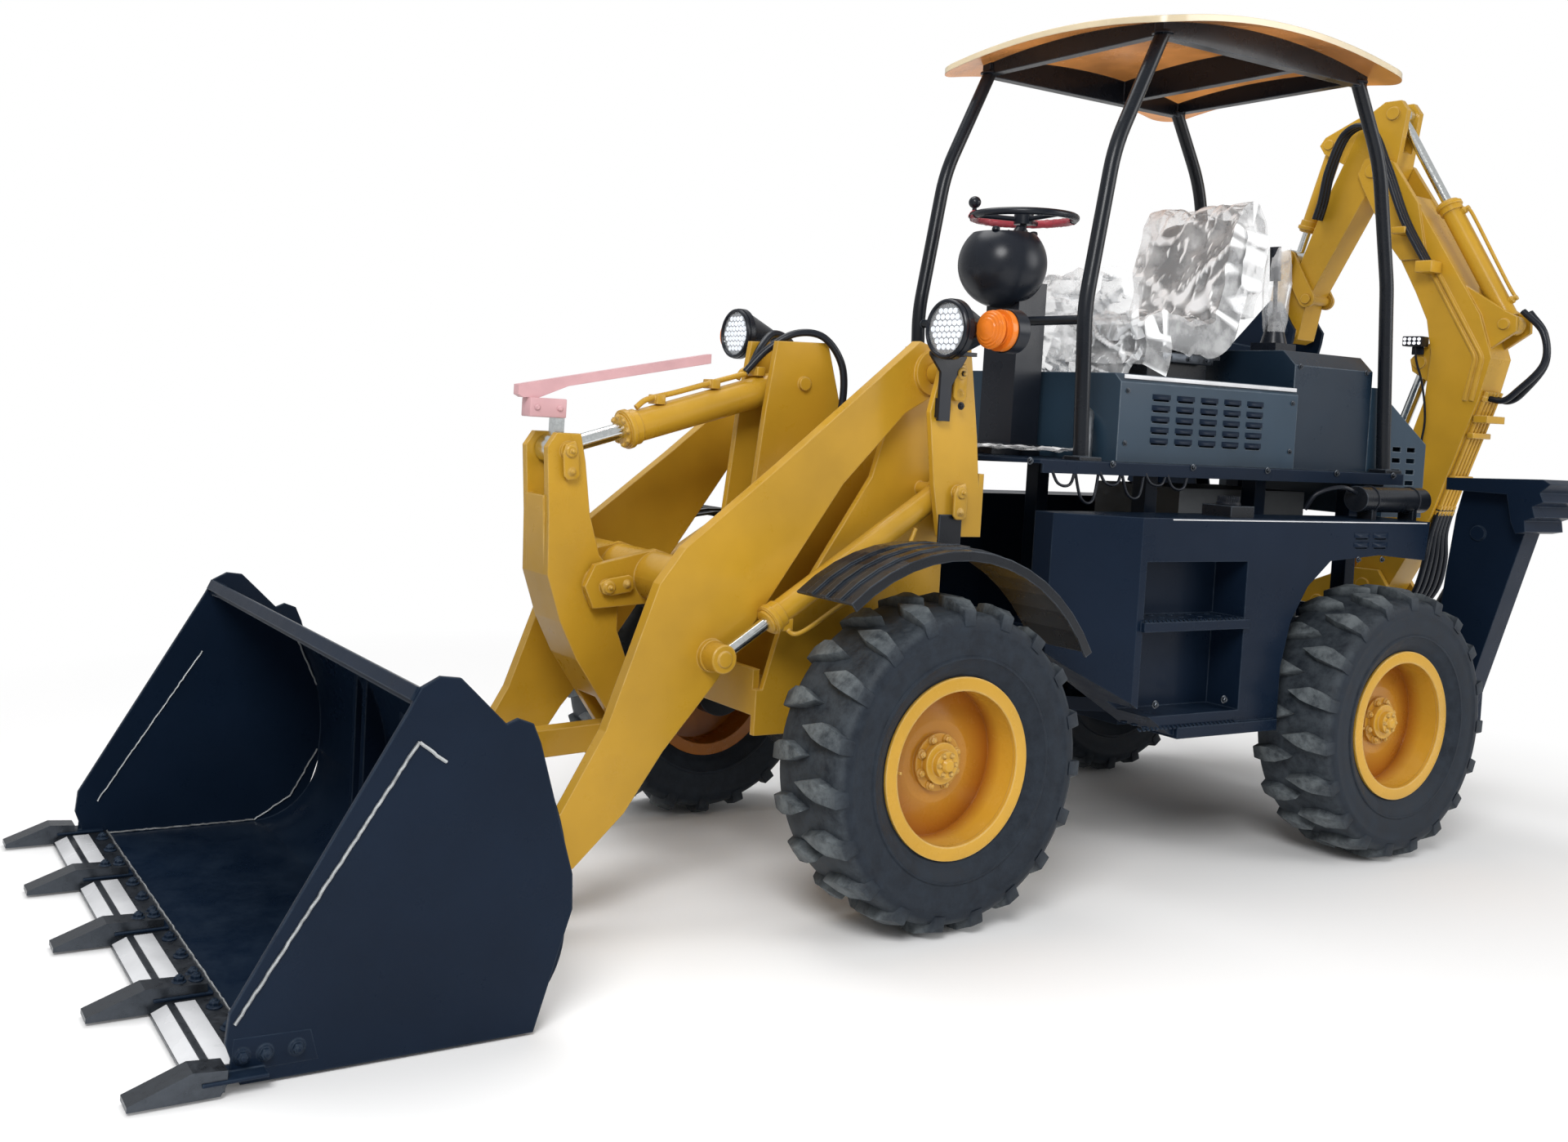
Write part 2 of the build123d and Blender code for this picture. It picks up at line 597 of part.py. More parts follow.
def rear_carrier():
    """The cross beam behind the frame, with the swing post's lugs and the stabilisers' brackets."""
    front_x = LEG_X + LEG_THICK / 2 + SIDE_GAP
    rear_x = LEG_X - LEG_THICK / 2 - SIDE_GAP
    wall = block(REAR_WALL_X - 45, REAR_WALL_X - 0.3, -300, 300, 370, 780)
    shape = wall
    for low, high in LUG_Z:
        lug = [
            (REAR_WALL_X - 40, 220), (SWING_X + 60, 105), (SWING_X, 105), (SWING_X, -105), (SWING_X + 60, -105),
            (REAR_WALL_X - 40, -220),
        ]
        shape += floor_slab(lug, low, high) + boss_z(SWING_X, 0, 105, low, high)
    shape -= boss_z(SWING_X, 0, SWING_PIN_RADIUS + PIN_FIT, 300, 700)
    side = [(250.3, 440), (250.3, 720), (470, 720), (470, 620), (540, 590), (680, 560), (680, 440)]
    for x0, x1 in ((front_x, front_x + 22), (rear_x - 22, rear_x)):
        shape += both_sides(cross_slab(side, x0, x1))
    shape += both_sides(block(rear_x - 22, front_x + 22, 250.3, 300, 440, 780))
    shape += both_sides(block(REAR_WALL_X - 45, rear_x - 2, 250.3, 300, 440, 780))
    for y, z in (LEG_PIVOT, LEG_CYL_BASE):
        shape += both_sides(boss_x((y, z), PIN_RADIUS, rear_x - 30, front_x + 30))
    return shape


def deck():
    top = DECK_Z
    low = DECK_Z - DECK_THICK
    half = DECK_HALF_WIDTH
    outline = [
        (DECK_FRONT_X, 260), (DECK_FRONT_X - 150, half), (DECK_REAR_X, half), (DECK_REAR_X, -half),
        (DECK_FRONT_X - 150, -half), (DECK_FRONT_X, -260),
    ]
    shape = floor_slab(outline, low, top)
    shape += both_sides(block(DECK_REAR_X, DECK_FRONT_X - 160, half - 8, half, low - 30, low + 1))
    shape -= block(-2350, -1050, -300, 300, low - 1, top + 1)
    return shape


def side_tank():
    """A side tank with its step recess and the cut round the rear wheel."""
    outline = [
        (-600, TANK_TOP_Z), (-600, 760), (-660, 720), (-1060, 492), (-1600, 480), (-1600, 700),
        (-1640, 860), (-1720, 980), (-1840, 1070), (-2120, 1090), (-2400, 1070), (-2420, TANK_TOP_Z),
    ]
    shape = slab(outline, TANK_INNER_Y, TANK_OUTER_Y)
    corner = [(-590, 494.6), (-590, TANK_OUTER_Y + 20), (-870, TANK_OUTER_Y + 20), (-870, TANK_OUTER_Y + 5.4)]
    shape -= floor_slab(corner, 400, TANK_TOP_Z + 10)
    shape -= block(-1390, -890, 510, TANK_OUTER_Y + 1, 560, 840)
    shape -= block(-1390, -890, 510, TANK_OUTER_Y + 1, 876, 1070)
    shape += block(-1400, -880, 500, TANK_OUTER_Y + 16, 842, 874)
    shape += block(-1580, -1070, 520, TANK_OUTER_Y + 16, 482, 520)
    for column in range(2):
        for row in range(2):
            x = -2010 - column * 110
            z = 1120 + row * 34
            shape -= block(x - 34, x + 34, TANK_OUTER_Y - 8, TANK_OUTER_Y + 1, z - 6, z + 6)
    return shape


def hollow(outline, inner, half, wall):
    """A sheet cover, open below: an outline in X and Z with sides, less its inside."""
    return slab(outline, -half, half) - slab(inner, -half + wall, half - wall)


HOOD_HALF = 400
TALL_HALF = 380
LOW_HOOD_X = (-985, -1930)
LOW_HOOD_TOP = 1690
TALL_HOOD_REAR_X = -2400
TALL_HOOD_TOP = 1830


def low_hood():
    front, rear = LOW_HOOD_X
    low = DECK_Z + 0.3
    top = LOW_HOOD_TOP
    shape = block(rear, front, -HOOD_HALF, HOOD_HALF, low, top)
    edges = shape.edges().filter_by(Axis.X).group_by(Axis.Z)[-1]
    shape = chamfer(edges, 30)
    shape -= block(rear + SHELL, front - SHELL, -HOOD_HALF + SHELL, HOOD_HALF - SHELL, low - 1, top - 36)
    for column in range(5):
        for row in range(5):
            x = -1190 - column * 125
            z = 1455 + row * 38
            slot = block(x - 40, x + 40, HOOD_HALF - SHELL - 1, HOOD_HALF + 1, z - 6, z + 6)
            shape -= slot + mirror(slot, Plane.XZ)
    return shape


def tall_hood():
    front = LOW_HOOD_X[1] - 0.3
    low = DECK_Z + 0.3
    shape = block(TALL_HOOD_REAR_X, front, -TALL_HALF, TALL_HALF, low, TALL_HOOD_TOP)
    edges = shape.edges().filter_by(Axis.X).group_by(Axis.Z)[-1]
    shape = chamfer(edges, 55)
    return shape - block(
        TALL_HOOD_REAR_X + SHELL, front - SHELL, -TALL_HALF + SHELL, TALL_HALF - SHELL, low - 1, TALL_HOOD_TOP - 60
    )


def rear_guard():
    front = TALL_HOOD_REAR_X - 0.3
    rear = REAR_WALL_X
    top = [(front, DECK_Z + 0.3), (front, 1715), (front - 40, 1715), (rear, 1505), (rear, 1210), (-2521, 1210),
           (-2521, DECK_Z + 0.3)]
    inner = [(front + 1, DECK_Z - 1), (front + 1, 1710), (front - 38, 1709), (rear + SHELL, 1501),
             (rear + SHELL, 1209), (-2526, 1209), (-2526, DECK_Z - 1)]
    shape = hollow(top, inner, TALL_HALF, SHELL)
    for column in range(2):
        for row in range(6):
            x = -2590 - column * 95
            z = 1260 + row * 44
            slot = block(x - 28, x + 28, TALL_HALF - SHELL - 1, TALL_HALF + 1, z - 9, z + 9)
            shape -= slot + mirror(slot, Plane.XZ)
    return shape


# Operator's place
POD_X = -790
POD_Z = 2060
POD_RADIUS = 155
WHEEL_X = -880
WHEEL_Z = 2238


def dash_column():
    shape = Pos(POD_X, 0, POD_Z) * Sphere(POD_RADIUS)
    shape -= block(POD_X - 200, POD_X + 200, -200, 200, POD_Z + 110, POD_Z + 200)
    shape += block(POD_X - 145, POD_X - 15, -80, 80, DECK_Z + 0.3, POD_Z - 60)
    shape += block(POD_X - 130, POD_X + 100, -110, 110, DECK_Z + 0.3, DECK_Z + 40)
    shape += bar((POD_X - 30, 0, POD_Z + 60), (WHEEL_X + 6, 0, WHEEL_Z - 44), 24)
    return shape + boss_z(WHEEL_X, 0, 12, WHEEL_Z - 60, WHEEL_Z + 4)


def steering_wheel():
    shape = Pos(WHEEL_X, 0, WHEEL_Z) * Torus(180, 13)
    for angle in (90, 210, 330):
        end = (WHEEL_X + 176 * cos(radians(angle)), 176 * sin(radians(angle)), WHEEL_Z)
        shape += bar((WHEEL_X, 0, WHEEL_Z - 8), end, 9)
    shape += boss_z(WHEEL_X, 0, 34, WHEEL_Z - 26, WHEEL_Z + 14)
    shape -= boss_z(WHEEL_X, 0, 12 + PIN_FIT, WHEEL_Z - 40, WHEEL_Z + 6)
    shape += boss_z(WHEEL_X + 150, -95, 8, WHEEL_Z, WHEEL_Z + 34)
    return shape + Pos(WHEEL_X + 150, -95, WHEEL_Z + 46) * Sphere(22)


SEAT_HALF = 205


def seat_base():
    top = LOW_HOOD_TOP + 0.3
    shape = block(-1720, -1400, -150, 150, top, top + 90)
    return shape + block(-1760, -1370, -180, 180, top + 88, top + 104)


def seat():
    low = LOW_HOOD_TOP + 104.6
    cushion = [(-1340, low), (-1335, low + 70), (-1370, low + 100), (-1700, low + 96), (-1720, low + 150),
               (-1790, 2290), (-1820, 2330), (-1870, 2330), (-1890, 2290), (-1835, low + 60), (-1800, low)]
    return slab(cushion, -SEAT_HALF, SEAT_HALF)


LEVER = (-2010, 220)


def control_lever():
    x, y = LEVER
    top = TALL_HOOD_TOP + 0.3
    shape = block(x - 60, x + 60, y - 55, y + 55, top, top + 30)
    shape += Pos(x, y, top + 90) * Cone(48, 16, 120)
    shape += bar((x, y, top + 100), (x + 14, y, top + 300), 8)
    return shape + bar((x + 14, y, top + 270), (x + 26, y, top + 400), 20)


# Canopy
POST_Y = 412
POST_RADIUS = 25
ROOF_X = (-905, -2245)
ROOF_HALF = 565
ROOF_CROWN_Z = 2985
ROOF_BALL = 3000
ROOF_THICK = 22


def canopy_frame():
    """Four bowed posts, side rails and cross beams cut to the roof's curve, and a low front bar."""
    base = DECK_Z + 12
    front = [(-800, POST_Y, base), (-775, POST_Y, 1900), (-865, POST_Y, 2440), (-1060, POST_Y, 2850)]
    rear = [(-2460, POST_Y, base), (-2400, POST_Y, 2110), (-2300, POST_Y, 2570), (-2130, POST_Y, 2856)]
    shape = tube(front, 600, POST_RADIUS) + tube(rear, 600, POST_RADIUS)
    for x in (-800, -2460):
        shape += block(x - 50, x + 50, POST_Y - 26, POST_Y + 45, DECK_Z + 0.3, base + 2)
    shape += block(-2160, -1040, POST_Y - 20, POST_Y + 20, 2835, 3000)
    shape = both_sides(shape)
    for x in (-1070, -1803, -2130):
        shape += block(x - 20, x + 20, -POST_Y, POST_Y, 2846, 3000)
    under = Pos(*roof_middle()) * Sphere(ROOF_BALL - ROOF_THICK - WHEEL_GAP)
    low = block(-2600, -700, -500, 500, DECK_Z, 2835)
    shape = (shape & under) + (shape & low)
    return shape + bar((-783, -POST_Y, 1855), (-783, POST_Y, 1855), 16)


def roof_middle():
    return ((ROOF_X[0] + ROOF_X[1]) / 2, 0, ROOF_CROWN_Z - ROOF_BALL)


def canopy_roof():
    sheet = Pos(*roof_middle()) * (Sphere(ROOF_BALL) - Sphere(ROOF_BALL - ROOF_THICK))
    outline = block(ROOF_X[1], ROOF_X[0], -ROOF_HALF, ROOF_HALF, 2780, 3100)
    outline = fillet(outline.edges().filter_by(Axis.Z), 110)
    return sheet & outline


# Things on the rear body
def side_fittings():
    """The air cylinder and the filler box on the left tank."""
    z = TANK_TOP_Z + 75
    shape = boss_x((560, z), 48, -2470, -2080)
    for x in (-2400, -2150):
        shape += block(x - 12, x + 12, 530, 590, TANK_TOP_Z + 0.3, z - 20)
    box = block(-1470, -1350, 470, 590, TANK_TOP_Z + 0.3, TANK_TOP_Z + 40)
    box += boss_z(-1410, 530, 34, TANK_TOP_Z + 38, TANK_TOP_Z + 66)
    return shape + box


def engine():
    return block(-2290, -1560, -200, 200, ENGINE_LOW_Z + WHEEL_GAP, 1290)


# Digging arm, built in its own plane and then turned to its rest direction
def in_arm_plane(shape):
    return Pos(SWING_X, 0, 0) * Rot(0, 0, SWING_REST) * shape


CHEEK_T = (94, 120)


def swing_post():
    side = [(-110, 690), (-90, 830), (-10, 950), (110, 950), (320, 850), (330, 735), (250, 690)]
    shape = both_sides(slab(side, *CHEEK_T))
    shape += boss_z(0, 0, 150, 674, 702) + block(0, 290, -120, 120, 690, 716)
    shape += boss_z(0, 0, SWING_PIN_RADIUS, 350, 690)
    shape += boss_z(0, 0, 88, LUG_Z[0][1] + SIDE_GAP, LUG_Z[1][0] - SIDE_GAP)
    shape += boss_z(0, 0, 70, 350, LUG_Z[0][0] - SIDE_GAP)
    for pin in (BOOM_FOOT, BOOM_CYL_BASE):
        shape += boss(pin, 28, -CHEEK_T[1] - 10, CHEEK_T[1] + 10)
    return in_arm_plane(shape)


BOOM_PIPE_RADIUS = 9
BOOM_FORK = (DIPPER_HALF_WIDTH + SIDE_GAP, 98)
LUG_T = (50, 70)


def boom():
    side = [
        (-30, 850), (-200, 1200), (-360, 1710), (-398, 1880), (-340, 2060), (-150, 2380), (-30, 2580),
        (60, 2520), (50, 2390), (-70, 2160), (-125, 2040), (-152, 1900), (-140, 1700), (-10, 1250), (125, 900),
        (100, 830), (20, 812),
    ]
    half = BOOM_HALF_WIDTH
    shape = slab(side, -half, half)
    fork = [(-110, 2300), (-60, 2540), (60, 2730), (120, 2765), (190, 2755), (215, 2690), (190, 2630), (60, 2380),
            (0, 2300)]
    shape += both_sides(slab(fork, *BOOM_FORK))
    shape += boss(BOOM_TIP, 30, -BOOM_FORK[1] - 10, BOOM_FORK[1] + 10)
    lug = [(-330, 1880), (-480, 1990), (-478, 2050), (-430, 2075), (-230, 2210), (-230, 1990)]
    shape += both_sides(slab(lug, *LUG_T))
    shape += boss(DIPPER_CYL_BASE, PIN_RADIUS, -LUG_T[1] - 8, LUG_T[1] + 8)
    low_lug = [(-150, 1770), (-72, 1820), (-60, 1870), (-90, 1905), (-150, 1950)]
    shape += both_sides(slab(low_lug, *LUG_T))
    shape += both_sides(boss(BOOM_CYL_EYE, PIN_RADIUS + 6, LUG_T[1] - 1, LUG_T[1] + 8))
    # the pocket between its side plates for the boom cylinder
    shape -= slab([(-240, 1780), (-240, 1950), (-100, 1965), (-60, 1700), (-185, 1700)], -LUG_T[0] + 1, LUG_T[0] - 1)
    shape -= slab([(-65, 1330), (-192, 1730), (-60, 1730), (0, 1330)], -58, 58)
    # steel pipes on the back of the lower half, and two up its side
    for index in range(5):
        t = (index - 2) * 28
        shape += bar((-218, t, 1230), (-372, t, 1720), BOOM_PIPE_RADIUS)
    shape += block(-395, -340, -76, 76, 1610, 1640)
    for offset in (0, 26):
        shape += tube(
            [(-330 + offset, half, 1700), (-362 + offset, half, 1880), (-130 + offset, half, 2290)], 60, BOOM_PIPE_RADIUS
        )
    # the work lamp
    shape += block(-140, -60, half - 1, half + 60, 1925, 1965)
    shape -= boss(BOOM_FOOT, 28 + PIN_FIT, -200, 200)
    return in_arm_plane(shape)


def dipper():
    side = [
        (30, 2960), (60, 3005), (130, 3005), (225, 2940), (300, 2750), (380, 2570), (520, 2180), (548, 1990),
        (530, 1950), (500, 1942), (462, 1960), (430, 2130), (190, 2600), (90, 2640), (60, 2720),
    ]
    half = DIPPER_HALF_WIDTH
    shape = slab(side, -half, half)
    lug = [(190, 2930), (250, 2950), (400, 2880), (424, 2845), (400, 2805), (300, 2745), (240, 2760)]
    shape += both_sides(slab(lug, 42, 60))
    notch = [(-50, 2780), (-50, 3060), (186, 3060), (186, 2866), (120, 2830), (60, 2780)]
    shape -= slab(notch, -36, 36)
    shape += both_sides(boss(DIPPER_CYL_EYE, PIN_RADIUS + 6, half - 1, half + 10))
    shape += boss(DIG_CYL_BASE, PIN_RADIUS, -68, 68)
    shape += boss(ROCKER_PIN, PIN_RADIUS, -ROCKER_T[1] - 8, ROCKER_T[1] + 8)
    shape -= boss(BOOM_TIP, 30 + PIN_FIT, -200, 200)
    shape -= boss(DIG_PIN, PIN_RADIUS + PIN_FIT, -200, 200)
    return in_arm_plane(shape)


ROCKER_T = (DIPPER_HALF_WIDTH + 5, DIPPER_HALF_WIDTH + 19)
LINK_T = (ROCKER_T[1] + 4, ROCKER_T[1] + 18)
EAR_T = (LINK_T[1] + 5, LINK_T[1] + 21)
LINK_PIN_ON_BUCKET = (-93, 75)


def on_bucket(a, b):
    """A place on the digging bucket: a from its pin to the tooth tips, b towards its back."""
    turn = radians(DIG_ANGLE)
    return (DIG_PIN[0] + a * cos(turn) - b * sin(turn), DIG_PIN[1] + a * sin(turn) + b * cos(turn))


def strap(a, b, radius, t0, t1):
    """A flat bar with round ends between two pins."""
    turn = Vector(*b) - Vector(*a)
    side = Vector(-turn.Y, turn.X).normalized() * radius
    corners = (Vector(*a) + side, Vector(*b) + side, Vector(*b) - side, Vector(*a) - side)
    shape = slab([(p.X, p.Y) for p in corners], t0, t1)
    return shape + boss(a, radius, t0, t1) + boss(b, radius, t0, t1)


def rocker():
    shape = strap(ROCKER_PIN, ROCKER_EYE, 38, *ROCKER_T) - boss(ROCKER_PIN, PIN_RADIUS + PIN_FIT, 0, 200)
    return in_arm_plane(both_sides(shape + boss(ROCKER_EYE, PIN_RADIUS, ROCKER_T[1] - 1, LINK_T[1] + 8)))


def dig_link():
    shape = strap(ROCKER_EYE, on_bucket(*LINK_PIN_ON_BUCKET), 34, *LINK_T)
    return in_arm_plane(both_sides(shape - boss(ROCKER_EYE, PIN_RADIUS + PIN_FIT, 0, 200)))


def dig_bucket():
    ear = [(110, -48), (30, -52), (-20, -50), (-50, -20), (-132, 46), (-130, 100), (-95, 122), (0, 180), (110, 250)]
    back = [(130, 256), (250, 266), (352, 222), (DIG_REACH - 60, 112), (DIG_REACH, 0), (DIG_REACH - 90, 0), (140, -30)]
    hollow_rim = [(122, -90), (DIG_REACH + 40, -90), (DIG_REACH + 20, -6), (DIG_REACH - 40, 30)]
    hollow_back = [(DIG_REACH - 78, 96), (345, 206), (250, 250), (150, 240), (124, 200)]
    half = DIG_HALF_WIDTH
    shape = slab([on_bucket(*p) for p in ear + back], -half, half)
    shape -= slab([on_bucket(*p) for p in hollow_rim + hollow_back], -half + 12, half - 12)
    # two ears stand clear of the arm's end and its linkage
    between_ears = ((-160, -80), (108, -80), (108, 290), (-160, 290))
    shape -= slab([on_bucket(*p) for p in between_ears], -EAR_T[0], EAR_T[0])
    outside = ((-160, -80), (92, -80), (92, 290), (-160, 290))
    shape -= both_sides(slab([on_bucket(*p) for p in outside], EAR_T[1], half + 5))
    for index in range(4):
        t = (index - 1.5) * (2 * half - 60) / 3
        tooth = [on_bucket(*p) for p in ((DIG_REACH - 70, -8), (DIG_REACH + 60, -8), (DIG_REACH - 20, 40))]
        shape += slab(tooth, t - 25, t + 25)
    shape += boss(DIG_PIN, PIN_RADIUS, -EAR_T[1] - 10, EAR_T[1] + 10)
    shape += both_sides(boss(on_bucket(*LINK_PIN_ON_BUCKET), PIN_RADIUS + 6, EAR_T[1] - 1, EAR_T[1] + 8))
    return in_arm_plane(shape)


# Cylinders of the digging arm and the stabilisers: size, half widths of the base eye and the rod eye
BOOM_CYL = ((46, 700, 66, 404), 34, LUG_T[0] - 3)
DIPPER_CYL = ((40, 600, 58, 420), 30, 33)
DIG_CYL = ((34, 392, 44, 134), 28, ROCKER_T[0] - 3)
LEG_CYL = ((30, 500, 48, 58), 24, 36)


def arm_cylinder(base, eye, sizes):
    size, half, rod_half = sizes
    pin = 28 if base == BOOM_CYL_BASE else PIN_RADIUS
    body_shape = barrel(base, eye, size, 0, half, pin)
    rod_shape = rod(base, eye, size, 0, rod_half, PIN_RADIUS)
    return in_arm_plane(body_shape), in_arm_plane(rod_shape)


# Stabilisers
def leg():
    """A stabiliser: a channel open on its inner side, with its serrated foot at the top."""
    y0, z0 = LEG_PIVOT
    x0 = LEG_X - LEG_THICK / 2
    x1 = LEG_X + LEG_THICK / 2
    side = [
        (y0 - 50, z0), (y0 - 52, 640), (560, 800), (575, 1000), (600, 1240), (622, 1342), (842, 1342),
        (872, 1240), (y0 + 62, z0 + 20), (y0 + 40, z0 - 46), (y0, z0 - 60), (y0 - 40, z0 - 46),
    ]
    channel = [
        (y0 - 140, z0 - 80), (500, 640), (500, 1330), (826, 1330), (854, 1240), (y0 + 50, z0 + 60),
        (y0 + 22, z0 - 36), (y0 - 10, z0 - 80),
    ]
    wall = 9
    shape = cross_slab(side, x0, x1) - cross_slab(channel, x0 + wall, x1 - wall)
    pad = [
        (598, 1338), (598, 1384), (950, 1402), (978, 1386), (944, 1352), (958, 1320), (920, 1300),
        (932, 1262), (896, 1246), (902, 1206), (866, 1196), (846, 1240), (826, 1338),
    ]
    shape += cross_slab(pad, LEG_X - 125, LEG_X + 125)
    for start, end in ((x0 - 8, x0 + 1), (x1 - 1, x1 + 8)):
        shape += boss_x(LEG_CYL_EYE, PIN_RADIUS + 6, start, end)
    return shape - boss_x(LEG_PIVOT, PIN_RADIUS + PIN_FIT, x0 - 1, x1 + 1)


def leg_cylinder():
    """The cylinder is drawn in X and Z and turned into the stabiliser's plane."""
    size, half, rod_half = LEG_CYL
    turn = Pos(LEG_X, 0, 0) * Rot(0, 0, 90)
    body_shape = barrel(LEG_CYL_BASE, LEG_CYL_EYE, size, 0, half, PIN_RADIUS)
    rod_shape = rod(LEG_CYL_BASE, LEG_CYL_EYE, size, 0, rod_half, PIN_RADIUS - 4)
    return turn * body_shape, turn * rod_shape


def nodes():
    made = {
        "front_frame": front_frame(),
        "front_axle": axle(0),
        "fenders": fenders(),
        "lamp_pods": lamp_pods(),
        "lamp_lenses": lamp_lenses(),
        "indicators": indicators(),
        "loader_arms": loader_arms(),
        "bell_crank": bell_crank(),
        "bucket_link": bucket_link(),
        "loader_bucket": bucket(),
        "bucket_edge": bucket_edge(),
        "lift_barrels": lift_barrels(),
        "lift_rods": lift_rods(),
        "tilt_barrel": tilt_barrel(),
        "tilt_rod": tilt_rod(),
        "level_rod": level_rod(),
        "rear_frame": rear_frame(),
        "rear_axle": axle(-WHEELBASE),
        "rear_carrier": rear_carrier(),
        "engine": engine(),
        "deck": deck(),
        "side_fittings": side_fittings(),
        "low_hood": low_hood(),
        "tall_hood": tall_hood(),
        "rear_guard": rear_guard(),
        "dash_column": dash_column(),
        "steering_wheel": steering_wheel(),
        "seat_base": seat_base(),
        "seat": seat(),
        "control_lever": control_lever(),
        "canopy_frame": canopy_frame(),
        "canopy_roof": canopy_roof(),
        "swing_post": swing_post(),
        "boom": boom(),
        "dipper": dipper(),
        "rocker": rocker(),
        "dig_link": dig_link(),
        "dig_bucket": dig_bucket(),
    }
    arm_cylinders = (
        ("boom", BOOM_CYL_BASE, BOOM_CYL_EYE, BOOM_CYL),
        ("dipper", DIPPER_CYL_BASE, DIPPER_CYL_EYE, DIPPER_CYL),
        ("dig", DIG_CYL_BASE, ROCKER_EYE, DIG_CYL),
    )
    for name, base, eye, size in arm_cylinders:
        made[name + "_barrel"], made[name + "_rod"] = arm_cylinder(base, eye, size)
    leg_barrel, leg_rod = leg_cylinder()
    sides = (("left", 1), ("right", -1))
    one_tyre = tyre()
    one_rim = rim()
    for name, side in sides:
        for piece, shape in (("side_tank", side_tank()), ("stabiliser", leg()), ("leg_barrel", leg_barrel),
                             ("leg_rod", leg_rod)):
            made[piece + "_" + name] = shape if side > 0 else mirror(shape, Plane.XZ)
        for end, x in (("front", 0), ("rear", -WHEELBASE)):
            made[f"tyre_{end}_{name}"] = at_wheel(one_tyre, x, side)
            made[f"rim_{end}_{name}"] = at_wheel(one_rim, x, side)
    return made


os.makedirs("parts", exist_ok=True)
for node, solid in nodes().items():
    export_step(Pos(-MIDDLE_X, 0, 0) * solid, f"parts/{node}.step")
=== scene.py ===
import json
import math
import random

import bmesh
import bpy
from mathutils import Matrix, Vector, noise


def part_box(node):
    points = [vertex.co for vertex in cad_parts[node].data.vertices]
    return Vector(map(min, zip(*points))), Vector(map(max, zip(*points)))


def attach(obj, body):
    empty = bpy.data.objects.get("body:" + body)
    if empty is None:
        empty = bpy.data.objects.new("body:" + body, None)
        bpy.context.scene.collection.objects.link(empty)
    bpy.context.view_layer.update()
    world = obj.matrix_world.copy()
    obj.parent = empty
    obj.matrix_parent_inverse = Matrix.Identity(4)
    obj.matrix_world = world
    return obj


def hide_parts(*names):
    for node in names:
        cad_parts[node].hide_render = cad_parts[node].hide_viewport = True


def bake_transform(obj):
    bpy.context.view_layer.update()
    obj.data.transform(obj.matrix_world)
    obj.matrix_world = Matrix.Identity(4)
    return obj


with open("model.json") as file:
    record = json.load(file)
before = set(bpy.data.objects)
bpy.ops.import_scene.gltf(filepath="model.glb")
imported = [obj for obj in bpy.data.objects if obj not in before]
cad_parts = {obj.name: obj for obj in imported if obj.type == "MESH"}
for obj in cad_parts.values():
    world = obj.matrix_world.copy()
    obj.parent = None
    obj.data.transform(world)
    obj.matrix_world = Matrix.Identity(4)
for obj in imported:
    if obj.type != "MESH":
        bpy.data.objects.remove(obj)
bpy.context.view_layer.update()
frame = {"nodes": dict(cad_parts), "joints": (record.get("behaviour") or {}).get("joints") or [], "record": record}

# A small backhoe loader with a hinge in its middle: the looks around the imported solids. Metres.

NODES = frame["nodes"]
BODY_OF = {node: body for body, group in frame["record"]["behaviour"]["bodies"].items() for node in group}
JOINTS = {joint["name"]: joint for joint in frame["joints"]}


# Camera, placed from the photograph. The picture is 1920 wide and 1398 high
PICTURE_WIDTH = 1920
PICTURE_HEIGHT = 1398
FOCAL_PIXELS = 1800
CENTRE_PIXEL = (748.5, 546.1)
CAMERA_AT = (3.501, 3.919, 1.490)
CAMERA_AZIMUTH = 150.432
CAMERA_ELEVATION = 1.705
CAMERA_ROLL = 3.253
SENSOR_WIDTH = 36


def make_camera():
    data = bpy.data.cameras.new("camera")
    camera = bpy.data.objects.new("camera", data)
    bpy.context.scene.collection.objects.link(camera)
    azimuth = math.radians(CAMERA_AZIMUTH)
    elevation = math.radians(CAMERA_ELEVATION)
    roll = math.radians(CAMERA_ROLL)
    back = Vector(
        (math.sin(azimuth) * math.cos(elevation), -math.cos(azimuth) * math.cos(elevation), math.sin(elevation))
    )
    level = Vector((math.cos(azimuth), math.sin(azimuth), 0))
    upright = back.cross(level)
    right = level * math.cos(roll) + upright * math.sin(roll)
    up = upright * math.cos(roll) - level * math.sin(roll)
    camera.matrix_world = Matrix(
        (
            (right.x, up.x, back.x, CAMERA_AT[0]),
            (right.y, up.y, back.y, CAMERA_AT[1]),
            (right.z, up.z, back.z, CAMERA_AT[2]),
            (0, 0, 0, 1),
        )
    )
    data.sensor_width = SENSOR_WIDTH
    data.lens = FOCAL_PIXELS / PICTURE_WIDTH * SENSOR_WIDTH
    data.shift_x = (PICTURE_WIDTH / 2 - CENTRE_PIXEL[0]) / PICTURE_WIDTH
    data.shift_y = (CENTRE_PIXEL[1] - PICTURE_HEIGHT / 2) / PICTURE_WIDTH
    data.clip_start = 0.05
    data.clip_end = 200
    bpy.context.scene.camera = camera


# Light
KEY_WATTS = 420
FILL_WATTS = 150
TOP_WATTS = 260
WORLD_STRENGTH = 0.55


def area_light(name, place, target, size, watts):
    data = bpy.data.lights.new(name, "AREA")
    data.shape = "DISK"
    data.size = size
    data.energy = watts
    light = bpy.data.objects.new(name, data)
    bpy.context.scene.collection.objects.link(light)
    light.location = place
    light.rotation_mode = "QUATERNION"
    light.rotation_quaternion = (Vector(target) - Vector(place)).to_track_quat("-Z", "Y")


